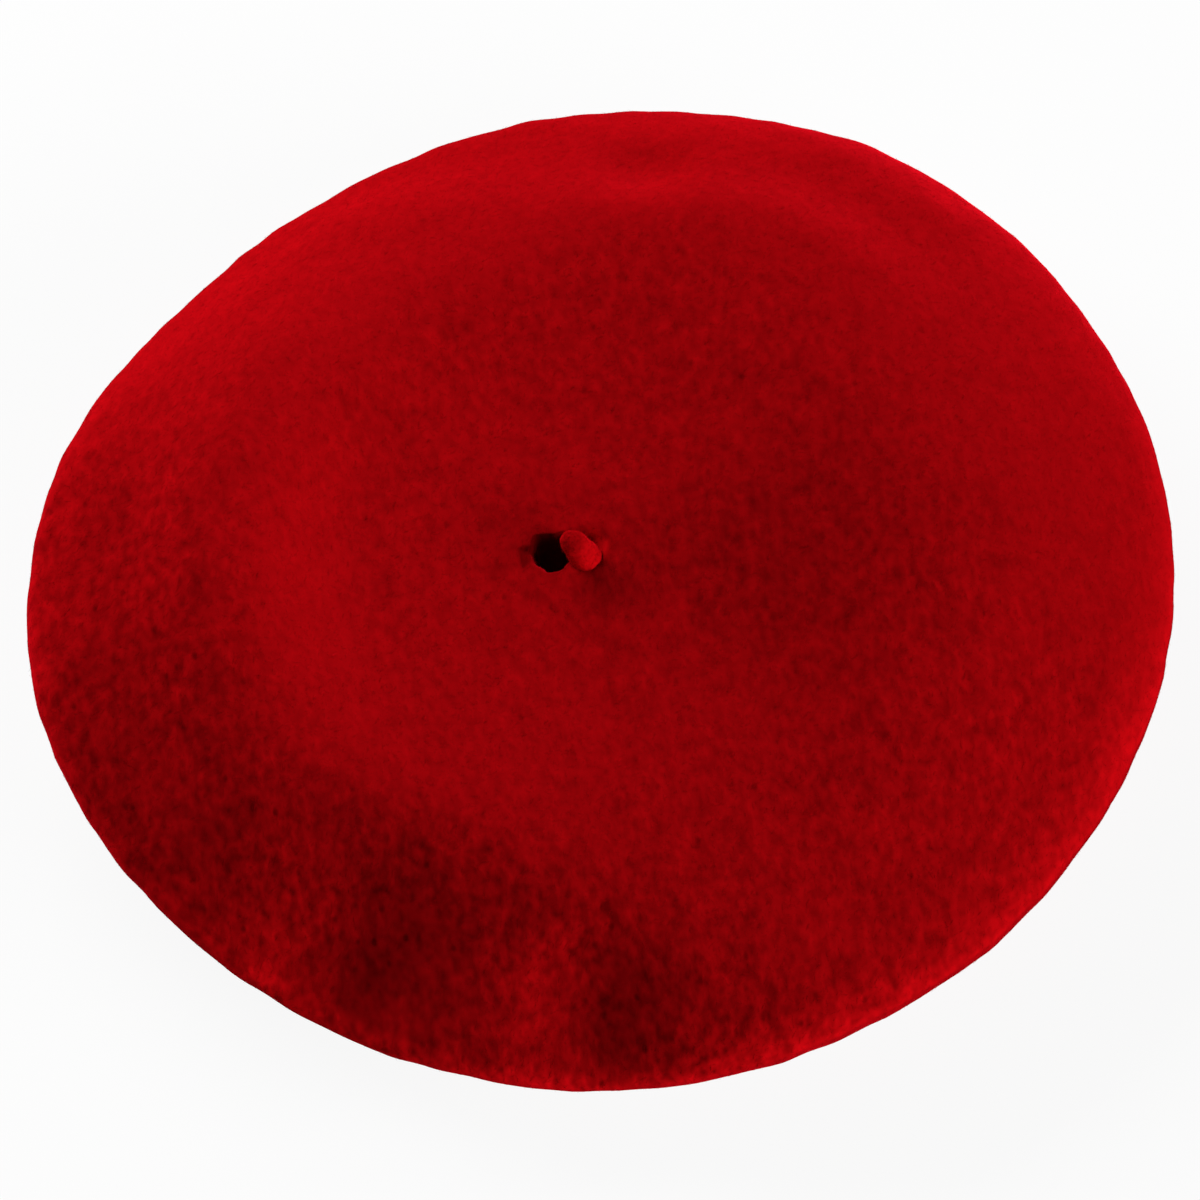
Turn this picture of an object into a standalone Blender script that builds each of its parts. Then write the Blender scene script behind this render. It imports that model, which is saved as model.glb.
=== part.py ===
"""Felt beret with a stalk, a satin lining and a leather sweatband.

The beret lies on its underside as on a table. Metres, +Z up, the wearer's back at +Y.
The origin is on the table under the middle of the head opening.
"""

import math

import bmesh
import bpy

# Felt body
CROWN_RADIUS = 0.140
HEAD_CIRCUMFERENCE = 0.569
FELT_THICKNESS = 0.0022
EDGE_HEIGHT = 0.018  # where the rolled edge is widest
CREST_HEIGHT = 0.0309  # top of the rolled edge, before the rises that are added to it
CREST_RADIUS = 0.087
CREST_REACH = 0.42  # how far the shoulder runs level from the crest, as a share of its width
EDGE_RISE = 0.65  # how far it stands upright at the edge, as a share of its height
DISH_HEIGHT = 0.0297  # middle of the sunken crown
REST_RADIUS = 0.112  # outer end of the flat ring on the table
HEM_WIDTH = 0.0075  # the hem is turned in, so the felt is double here
HEM_STEP = 0.0006  # slope of the turned-in felt's end
CUP_RADIUS = 0.0075  # the hollow that the stalk grows from
CUP_DEPTH = 0.0030
EYELET_RADIUS = 0.0016

# Stalk, and what holds it
STALK_X = -0.0015  # the crown lies slightly to one side
STALK_ROOT_RADIUS = 0.0040
STALK_TIP_RADIUS = 0.0022
STALK_LENGTH = 0.0072  # from the middle of the root to the tip
STALK_LEAN = -0.24  # run to the left for each unit of height
STALK_LEAN_BACK = 0.25  # and to the back
STALK_ROOT_HEIGHT = 0.0315
KNOT_RADIUS = 0.0036
KNOT_THICKNESS = 0.0024
SHANK_RADIUS = 0.0012

# Lining
LINING_THICKNESS = 0.0005
LINING_DROP = 0.0190  # top of the loose crown lining at its middle
LINING_FOOT_RADIUS = 0.1000  # where the side lining ends on the underside

# Sweatband
BAND_HEIGHT = 0.0215
BAND_FOOT = 0.0008
BAND_THICKNESS = 0.0012
BAND_FLARE = 0.0018  # how much wider the band is at its top
BAND_END_GAP = 0.0008
BAND_EDGE = 0.00035
TAB_WIDTH = 0.020
TAB_HEIGHT = 0.017
TAB_THICKNESS = 0.0009
TAB_CORNER = 0.12  # share of the tab's width that its corners lose
TAB_EDGE = 0.0003

# Clearances
PIECE_GAP = 0.0003  # between pieces that touch
BAND_GAP = 0.0006  # between the hem and the band
TAB_GAP = 0.00045
LINING_GAP = 0.0020  # between the felt and the loose satin

# Facets
FELT_STEPS = 50
DISH_RINGS = 12
RING_SPREAD = 1.7  # rings crowd towards the stalk
EDGE_RINGS = 6
FELT_UNDER_RINGS = 4
LINING_UNDER_RINGS = 3
LINING_RINGS = 5
BAND_STEPS = 60
SMALL_STEPS = 20

HEAD_RADIUS = HEAD_CIRCUMFERENCE / (2 * math.pi)

# The rolled edge isn't a true circle: (lobes, size, direction in degrees)
EDGE_LOBES = (
    (1, 0.0016, -27),  # the whole edge lies a little to the front right
    (3, 0.0018, 210),  # three slight corners
    (4, 0.0011, -23),  # four slighter ones
)
# Straight soft folds across the crown, beyond which it hangs lower:
# (direction in degrees, distance from the middle of the start, and of the end, drop)
FOLDS = (
    (238, 0.076, 0.130, 0.0045),  # front left
    (277, 0.050, 0.116, 0.0040),  # front
    (104, 0.070, 0.140, 0.0080),  # back
    (78, 0.093, 0.126, 0.0027),  # right of the back
)
# Soft hollows of the crown, and rises, whose depth is below 0:
# (direction in degrees, radius, half width in degrees, half length, depth)
HOLLOWS = (
    (232, 0.120, 26, 0.045, 0.0066),  # large dent at the front left
    (261, 0.122, 16, 0.037, 0.0040),  # smaller dent at the front
    (198, 0.118, 17, 0.018, 0.0018),  # flat place on the left
    (76, 0.112, 11, 0.016, 0.0010),  # notch at the back
    (50, 0.117, 27, 0.017, 0.0020),  # flat place at the back right
    (12, 0.077, 80, 0.095, -0.0067),  # wide rise on the right
    (162, 0.090, 74, 0.038, -0.0067),  # wide rise on the left
)
SAG_DRAWS_EDGE = 0.25  # share of the sag by which the edge is drawn in
# The steep pit beside the stalk
PIT_X = -0.0092
PIT_Y = 0.0006
PIT_RADIUS = 0.0062
PIT_DEPTH = 0.0075
FREE_FROM = 0.026  # from this height the felt is free to sag, and below it the table holds it more and more
# Sideways slide of the crown: whole up to the first radius, none from the second
SLIDE_WHOLE_TO = 0.020
SLIDE_ENDS_AT = 0.080


def smooth(low, high, value):
    """Goes from 0 at low to 1 at high without a corner."""
    share = min(max((value - low) / (high - low), 0.0), 1.0)
    return share**3 * (10 - 15 * share + 6 * share**2)


def bump(value):
    """1 at 0, falling without a corner to 0 at 1 and beyond."""
    return (1 - value * value) ** 3 if abs(value) < 1 else 0.0


def arc(centre, radii, start, end, count):
    """Points of an arc of an ellipse, both ends included, as radius and height."""
    points = []
    for index in range(count + 1):
        angle = math.radians(start + (end - start) * index / count)
        points.append((centre[0] + radii[0] * math.cos(angle), centre[1] + radii[1] * math.sin(angle)))
    return points


def shoulder():
    """Points from the crest down to the widest place of the edge, without the crest itself."""
    run = CROWN_RADIUS - CREST_RADIUS
    rise = CREST_HEIGHT - EDGE_HEIGHT
    points = []
    for index in range(1, EDGE_RINGS + 1):
        share = index / EDGE_RINGS
        rest = 1 - share
        out = 3 * rest**2 * share * CREST_REACH + 3 * rest * share**2 + share**3
        up = rest**3 + 3 * rest**2 * share + 3 * rest * share**2 * EDGE_RISE
        points.append((CREST_RADIUS + run * out, EDGE_HEIGHT + rise * up))
    return points


def crest_bend():
    """Bend of the line at the crest, for a dish of radius 1 and depth 1, where the shoulder starts."""
    run = CREST_REACH * (CROWN_RADIUS - CREST_RADIUS)
    fall = (1 - EDGE_RISE) * (CREST_HEIGHT - EDGE_HEIGHT)
    return 2 / 3 * fall / run**2 * CREST_RADIUS**2 / (CREST_HEIGHT - DISH_HEIGHT)


def dish_height(radius):
    """Height of the crown's outer face, from the stalk's cup to the crest of the edge.

    It is level at the middle and at the crest, and takes on the shoulder's bend at the crest.
    """
    bend = (6 - crest_bend()) / 2
    share = min(radius / CREST_RADIUS, 1.0)
    rise = share**2 * (3 + bend - (2 + 2 * bend) * share + bend * share**2)
    return DISH_HEIGHT + (CREST_HEIGHT - DISH_HEIGHT) * rise - CUP_DEPTH * bump(radius / CUP_RADIUS)


def outer_path(under_rings):
    """The felt's outer face from the eyelet over the edge to the hem, as radius and height."""
    points = []
    for index in range(DISH_RINGS + 1):
        radius = EYELET_RADIUS + (CREST_RADIUS - EYELET_RADIUS) * (index / DISH_RINGS) ** RING_SPREAD
        points.append((radius, dish_height(radius)))
    points += shoulder()
    under = (CROWN_RADIUS - REST_RADIUS, EDGE_HEIGHT)
    points += arc((REST_RADIUS, EDGE_HEIGHT), under, 0, -90, under_rings)[1:]
    points.append((HEAD_RADIUS + HEM_WIDTH, 0.0))
    return points


def inset(path, depth):
    """The path moved inwards by depth, square to itself."""
    moved = []
    last = len(path) - 1
    for index, (radius, height) in enumerate(path):
        before = path[max(index - 1, 0)]
        after = path[min(index + 1, last)]
        run = after[0] - before[0]
        rise = after[1] - before[1]
        length = math.hypot(run, rise)
        moved.append((radius + depth * rise / length, height - depth * run / length))
    return moved


def edge_swell(angle):
    """How far the rolled edge stands out from a circle in this direction."""
    return sum(size * math.cos(lobes * angle - math.radians(turn)) for lobes, size, turn in EDGE_LOBES)


def sag(angle, radius):
    """How far the folds and hollows let the crown down at this place."""
    depth = 0.0
    for turn, start, end, drop in FOLDS:
        depth += drop * smooth(start, end, radius * math.cos(angle - math.radians(turn)))
    for turn, middle, half_width, half_length, deepest in HOLLOWS:
        off = math.degrees(math.remainder(angle - math.radians(turn), 2 * math.pi))
        depth += deepest * bump(off / half_width) * bump((radius - middle) / half_length)
    return depth


def drape(point):
    """Moves a point of the round, even beret to where it lies in the soft felt."""
    x, y, z = point
    radius = math.hypot(x, y)
    angle = math.atan2(y, x)
    freedom = smooth(0.0, FREE_FROM, z)
    depth = freedom * sag(angle, radius)
    edge = smooth(REST_RADIUS, CROWN_RADIUS, radius)
    reach = radius + edge * (edge_swell(angle) - SAG_DRAWS_EDGE * depth)
    slide = STALK_X * (1 - smooth(SLIDE_WHOLE_TO, SLIDE_ENDS_AT, radius)) * freedom
    pit = PIT_DEPTH * bump(math.hypot(x - PIT_X, y - PIT_Y) / PIT_RADIUS) * freedom
    return (reach * math.cos(angle) + slide, reach * math.sin(angle), z - depth - pit)


def make_material(name, colour, roughness):
    material = bpy.data.materials.new(name)
    material.use_nodes = True
    shader = material.node_tree.nodes["Principled BSDF"]
    shader.inputs["Base Color"].default_value = (*colour, 1.0)
    shader.inputs["Roughness"].default_value = roughness
    shader.inputs["Metallic"].default_value = 0.0
    material.diffuse_color = (*colour, 1.0)
    return material


def add_object(name, mesh, material, collection):
    mesh.materials.clear()
    mesh.materials.append(material)
    mesh.shade_smooth()
    piece = bpy.data.objects.new(name, mesh)
    collection.objects.link(piece)
    return piece


def turned_mesh(name, profile):
    """A profile of radius and height turned about Z. It is closed unless both ends are on the axis."""
    bm = bmesh.new()
    corners = [bm.verts.new((radius, 0.0, height)) for radius, height in profile]
    for first, second in zip(corners, corners[1:]):
        bm.edges.new((first, second))
    if profile[0][0] > 0:
        bm.edges.new((corners[-1], corners[0]))
    outline = bpy.data.meshes.new(name + "_outline")
    bm.to_mesh(outline)
    bm.free()
    helper = bpy.data.objects.new(name + "_helper", outline)
    bpy.context.scene.collection.objects.link(helper)
    screw = helper.modifiers.new("turn", "SCREW")
    screw.axis = "Z"
    screw.angle = 2 * math.pi
    screw.steps = SMALL_STEPS if max(profile)[0] < CUP_RADIUS else FELT_STEPS
    screw.render_steps = screw.steps
    screw.use_merge_vertices = True
    screw.merge_threshold = 1e-5
    graph = bpy.context.evaluated_depsgraph_get()
    mesh = bpy.data.meshes.new_from_object(helper.evaluated_get(graph))
    mesh.name = name
    bpy.data.objects.remove(helper)
    bpy.data.meshes.remove(outline)
    return mesh


def move_points(mesh, rule):
    for vertex in mesh.vertices:
        vertex.co = rule(vertex.co)


def felt_body(collection):
    """Crown, rolled edge, underside and turned-in hem in one piece of felt."""
    outside = outer_path(FELT_UNDER_RINGS)
    inside = inset(outside, FELT_THICKNESS)
    fold = (HEAD_RADIUS + FELT_THICKNESS, FELT_THICKNESS)
    hem = arc(fold, (FELT_THICKNESS, FELT_THICKNESS), -90, -270, 6)
    hem.append((HEAD_RADIUS + HEM_WIDTH - HEM_STEP, 2 * FELT_THICKNESS))
    mesh = turned_mesh("felt_body", outside + hem + inside[::-1])
    move_points(mesh, drape)
    add_object("felt_body", mesh, make_material("felt", (0.35, 0.002, 0.004), 0.95), collection)


def stalk(collection, joint):
    """The stub above the felt. Its round root turns in the cup about the joint's axis."""
    tip_height = STALK_LENGTH - STALK_TIP_RADIUS
    taper = math.degrees(math.asin((STALK_ROOT_RADIUS - STALK_TIP_RADIUS) / tip_height))
    profile = arc((0.0, tip_height), (STALK_TIP_RADIUS, STALK_TIP_RADIUS), 90, taper, 4)
    profile += arc((0.0, 0.0), (STALK_ROOT_RADIUS, STALK_ROOT_RADIUS), taper, -90, 6)
    profile[0] = (0.0, STALK_LENGTH)
    profile[-1] = (0.0, -STALK_ROOT_RADIUS)
    mesh = turned_mesh("stalk", profile)

    def lean(point):
        rise = max(point[2], 0.0)
        return (point[0] + STALK_LEAN * rise, point[1] + STALK_LEAN_BACK * rise, point[2])

    move_points(mesh, lean)
    piece = add_object("stalk", mesh, make_material("stalk_felt", (0.38, 0.002, 0.004), 0.95), collection)
    piece.parent = joint


def stalk_anchor(collection):
    """The shank through the eyelet and the flat knot under the felt."""
    shank_top = STALK_ROOT_HEIGHT - STALK_ROOT_RADIUS - PIECE_GAP
    knot_top = dish_height(EYELET_RADIUS) - FELT_THICKNESS - 2 * PIECE_GAP
    rim = KNOT_THICKNESS / 2
    profile = [(0.0, shank_top), (SHANK_RADIUS, shank_top), (SHANK_RADIUS, knot_top)]
    profile += arc((KNOT_RADIUS - rim, knot_top - rim), (rim, rim), 90, -90, 4)
    profile.append((0.0, knot_top - KNOT_THICKNESS))
    mesh = turned_mesh("stalk_anchor", profile)
    material = make_material("anchor_thread", (0.30, 0.002, 0.004), 0.9)
    piece = add_object("stalk_anchor", mesh, material, collection)
    piece.location.x = STALK_X


def lining_side(collection):
    """Satin ring along the inside of the rolled edge, from the crown seam to the underside."""
    path = outer_path(LINING_UNDER_RINGS)
    seam = DISH_RINGS - 1
    near = FELT_THICKNESS + LINING_GAP
    far = near + LINING_THICKNESS
    face = inset(path, near)[seam:-1] + [(LINING_FOOT_RADIUS, near)]
    back = inset(path, far)[seam:-1] + [(LINING_FOOT_RADIUS, far)]
    mesh = turned_mesh("lining_side", face + back[::-1])
    move_points(mesh, drape)
    add_object("lining_side", mesh, make_material("side_satin", (0.09, 0.004, 0.006), 0.35), collection)


def lining_crown(collection):
    """Loose satin disc that hangs under the crown from its seam."""
    path = outer_path(LINING_UNDER_RINGS)
    seam_radius, seam_height = inset(path, FELT_THICKNESS + LINING_GAP)[DISH_RINGS - 1]
    edge_radius = seam_radius - 2 * PIECE_GAP
    top = []
    for index in range(LINING_RINGS + 1):
        share = index / LINING_RINGS
        top.append((edge_radius * share, LINING_DROP + (seam_height - LINING_DROP) * share**2))
    below = [(radius, height - LINING_THICKNESS) for radius, height in reversed(top)]
    mesh = turned_mesh("lining_crown", top + below)
    move_points(mesh, drape)
    add_object("lining_crown", mesh, make_material("crown_satin", (0.10, 0.004, 0.006), 0.35), collection)


def strip_mesh(name, columns, rows, place):
    """A flat grid whose shares of the way across and up, 0 to 1, are put in place by a rule."""
    bm = bmesh.new()
    bmesh.ops.create_grid(bm, x_segments=columns, y_segments=rows, size=0.5)
    for vertex in bm.verts:
        vertex.co = place(vertex.co.x + 0.5, vertex.co.y + 0.5)
    bmesh.ops.recalc_face_normals(bm, faces=bm.faces)
    mesh = bpy.data.meshes.new(name)
    bm.to_mesh(mesh)
    bm.free()
    return mesh


def thicken(piece, thickness, edge_width):
    solidify = piece.modifiers.new("thickness", "SOLIDIFY")
    solidify.thickness = thickness
    solidify.offset = 0.0
    bevel = piece.modifiers.new("soft_edge", "BEVEL")
    bevel.width = edge_width
    bevel.segments = 1
    bevel.limit_method = "ANGLE"
    bevel.angle_limit = math.radians(50)
    piece.data.set_sharp_from_angle(angle=math.radians(50))


def band_radius(height):
    """Radius of the middle of the sweatband's leather."""
    middle = HEAD_RADIUS - BAND_GAP - BAND_THICKNESS / 2
    return middle + BAND_FLARE * (height - BAND_FOOT) / BAND_HEIGHT


def sweatband(collection):
    """Leather strip round the head opening, with its two ends at the back."""
    end = BAND_END_GAP / 2 / HEAD_RADIUS

    def place(across, up):
        height = BAND_FOOT + BAND_HEIGHT * up
        radius = band_radius(height)
        angle = math.pi / 2 + end + 2 * (math.pi - end) * across
        return (radius * math.cos(angle), radius * math.sin(angle), height)

    mesh = strip_mesh("sweatband", BAND_STEPS, 2, place)
    material = make_material("band_leather", (0.028, 0.012, 0.010), 0.45)
    thicken(add_object("sweatband", mesh, material, collection), BAND_THICKNESS, BAND_EDGE)


def sweatband_joint(collection):
    """Leather tab that covers the joint of the sweatband on the side of the head."""
    foot = BAND_FOOT + (BAND_HEIGHT - TAB_HEIGHT) / 2
    inside = BAND_THICKNESS / 2 + TAB_GAP + TAB_THICKNESS / 2

    def place(across, up):
        height = foot + TAB_HEIGHT * up
        radius = band_radius(height) - inside
        width = TAB_WIDTH * (1 - TAB_CORNER * (2 * up - 1) ** 4)
        angle = math.pi / 2 + (across - 0.5) * width / radius
        return (radius * math.cos(angle), radius * math.sin(angle), height)

    mesh = strip_mesh("sweatband_joint", 6, 6, place)
    material = make_material("tab_leather", (0.030, 0.013, 0.011), 0.45)
    thicken(add_object("sweatband_joint", mesh, material, collection), TAB_THICKNESS, TAB_EDGE)


def main():
    for old in list(bpy.data.objects):
        bpy.data.objects.remove(old)
    collection = bpy.data.collections.new("beret")
    bpy.context.scene.collection.children.link(collection)
    joint = bpy.data.objects.new("stalk_flex", None)
    joint.location = (STALK_X, 0.0, STALK_ROOT_HEIGHT)
    collection.objects.link(joint)
    felt_body(collection)
    stalk(collection, joint)
    stalk_anchor(collection)
    lining_side(collection)
    lining_crown(collection)
    sweatband(collection)
    sweatband_joint(collection)


main()
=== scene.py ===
"""Dresses a red felt beret: brushed felt with its nap, the stalk, a satin lining and a leather sweatband.

Metres, in the CAD frame: +Z up out of the crown, and the origin on the table under the middle of the beret.
"""

import logging
import math
from dataclasses import dataclass, field
from enum import Enum
from typing import Iterable, Sequence

import bpy
import numpy as np
from mathutils import Matrix, Vector, noise


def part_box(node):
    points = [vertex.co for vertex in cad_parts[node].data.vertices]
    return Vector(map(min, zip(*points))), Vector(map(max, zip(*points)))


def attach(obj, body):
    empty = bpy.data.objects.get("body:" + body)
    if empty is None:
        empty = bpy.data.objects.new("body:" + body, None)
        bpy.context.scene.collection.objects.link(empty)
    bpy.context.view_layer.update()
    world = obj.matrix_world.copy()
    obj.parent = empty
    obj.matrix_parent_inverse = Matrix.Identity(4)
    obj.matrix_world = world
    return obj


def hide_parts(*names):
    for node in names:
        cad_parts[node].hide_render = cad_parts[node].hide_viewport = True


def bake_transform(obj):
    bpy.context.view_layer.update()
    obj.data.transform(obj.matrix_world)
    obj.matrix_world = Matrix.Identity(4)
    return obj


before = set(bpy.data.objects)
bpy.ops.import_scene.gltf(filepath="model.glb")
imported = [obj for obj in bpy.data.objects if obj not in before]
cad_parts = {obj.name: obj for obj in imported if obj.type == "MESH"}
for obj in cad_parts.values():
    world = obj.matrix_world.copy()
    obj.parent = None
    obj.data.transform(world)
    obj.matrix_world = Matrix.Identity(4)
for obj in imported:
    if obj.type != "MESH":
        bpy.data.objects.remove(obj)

log = logging.getLogger("beret")

Colour = tuple[float, float, float]
Path = np.ndarray  # rows of radius and height
MM = 0.001
HAT = "hat"
BAKE_MAP = "OFBake"
TONE = "fibre_tone"
# How strongly the felt's mottle shows: raised on slopes facing the front left, as painted shading of its fine
# relief.
PAINTED_RELIEF = "painted_relief_contrast"
# Painted shade that darkens the felt, or painted light that lightens it where below 0.
LIGHT_AND_SHADE = "painted_light_and_shade"
CLOTH_MAP = "cloth"
POLE = 0.02 * MM  # radius of the smallest ring where a turned form closes


# Numbers


def smooth(low: float, high: float, value: np.ndarray) -> np.ndarray:
    """Goes from 0 at low to 1 at high without a corner.

    Args:
        low: where the rise starts.
        high: where it ends.
        value: the places to look at.

    Returns:
        A share from 0 to 1 for each place.
    """
    share = np.clip((value - low) / (high - low), 0.0, 1.0)
    return share**3 * (10 - 15 * share + 6 * share**2)


def bump(value: np.ndarray) -> np.ndarray:
    """1 at 0, falling without a corner to 0 at 1 and beyond."""
    return np.where(np.abs(value) < 1, (1 - value * value) ** 3, 0.0)


def arc(centre: Sequence[float], radii: Sequence[float], start: float, end: float, count: int) -> Path:
    """Points of an arc of an ellipse, both ends included.

    Args:
        centre: radius and height of its middle.
        radii: its half sizes outwards and upwards.
        start: first angle in degrees.
        end: last angle in degrees.
        count: number of steps.

    Returns:
        Rows of radius and height.
    """
    angle = np.radians(np.linspace(start, end, count + 1))
    return np.column_stack((centre[0] + radii[0] * np.cos(angle), centre[1] + radii[1] * np.sin(angle)))


def inset(path: Path, depth: float) -> Path:
    """The path moved inwards, square to itself.

    Args:
        path: rows of radius and height.
        depth: how far it moves.

    Returns:
        The moved rows.
    """
    along = np.empty_like(path)
    along[1:-1] = path[2:] - path[:-2]
    along[0] = path[1] - path[0]
    along[-1] = path[-1] - path[-2]
    along /= np.linalg.norm(along, axis=1, keepdims=True)
    return path + depth * np.column_stack((along[:, 1], -along[:, 0]))


def polar(radius: np.ndarray, angle: np.ndarray, height: np.ndarray) -> np.ndarray:
    """Points from their distance to Z, their direction in radians and their height."""
    return np.stack((radius * np.cos(angle), radius * np.sin(angle), height + 0 * angle), axis=-1)


def lathe(path: Path, steps: int) -> np.ndarray:
    """Rings of points from a path turned about Z.

    Args:
        path: rows of radius and height.
        steps: points in each ring.

    Returns:
        An array of rings, steps and coordinates.
    """
    angle = np.linspace(0, 2 * math.pi, steps, endpoint=False)
    return polar(path[:, 0, None], angle, path[:, 1, None])


def waves(points: np.ndarray, size: float, seed: float) -> np.ndarray:
    """Smooth noise from about -1 to 1 over points in space.

    Args:
        points: rows of coordinates.
        size: length of one wave in metres.
        seed: moves the pattern.

    Returns:
        One value for each row.
    """
    shifted = points / size + seed
    return np.array([noise.noise(Vector(point)) for point in shifted])


# Form of the felt


@dataclass(frozen=True)
class Lobe:
    """One swelling of the rolled edge away from a true circle."""

    count: int
    size: float
    turn: float


@dataclass(frozen=True)
class Fold:
    """A straight soft fold across the crown, beyond which it hangs lower."""

    turn: float
    start: float
    end: float
    drop: float


@dataclass(frozen=True)
class Patch:
    """A soft patch of the crown, with how much of something there is in its middle."""

    turn: float
    radius: float
    half_width: float
    half_length: float
    amount: float

    def over(self, angle: np.ndarray, radius: np.ndarray) -> np.ndarray:
        """What the patch gives to each place.

        Args:
            angle: directions in radians.
            radius: distances from the middle.

        Returns:
            Its amount in the middle, falling to 0 at its edge.
        """
        off = (np.degrees(angle) - self.turn + 180) % 360 - 180
        along = (radius - self.radius) / self.half_length
        return self.amount * bump(off / self.half_width) * bump(along)


@dataclass(frozen=True)
class Pit:
    """A steep small pit whose outline is an uneven, rounded oblong, at a place in the even beret."""

    x: float
    y: float
    half_width: float
    half_length: float
    turn: float
    depth: float
    # How much painted shade darkens the felt in the pit.
    dark: float
    squareness: float = 2.8
    uneven: float = 0.07

    def within(self, x: np.ndarray, y: np.ndarray) -> np.ndarray:
        """How far inside the outline places are: 0 on it, 1 in the middle, and below 0 outside.

        Args:
            x: places to the right.
            y: places to the back.

        Returns:
            A share for each place.
        """
        turn = math.radians(self.turn)
        across = ((x - self.x) * math.cos(turn) + (y - self.y) * math.sin(turn)) / self.half_width
        along = ((y - self.y) * math.cos(turn) - (x - self.x) * math.sin(turn)) / self.half_length
        angle = np.arctan2(along, across)
        ripple = np.cos(3 * angle + 1.0) + 0.6 * np.sin(5 * angle) + 0.4 * np.cos(9 * angle)
        power = self.squareness
        reach = (np.abs(across) ** power + np.abs(along) ** power) ** (1 / power)
        return 1 - (1 + self.uneven * ripple) * reach

    def sink(self, x: np.ndarray, y: np.ndarray) -> np.ndarray:
        """How far the felt goes down at each place."""
        return self.depth * smooth(0.0, 0.5, self.within(x, y))


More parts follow.
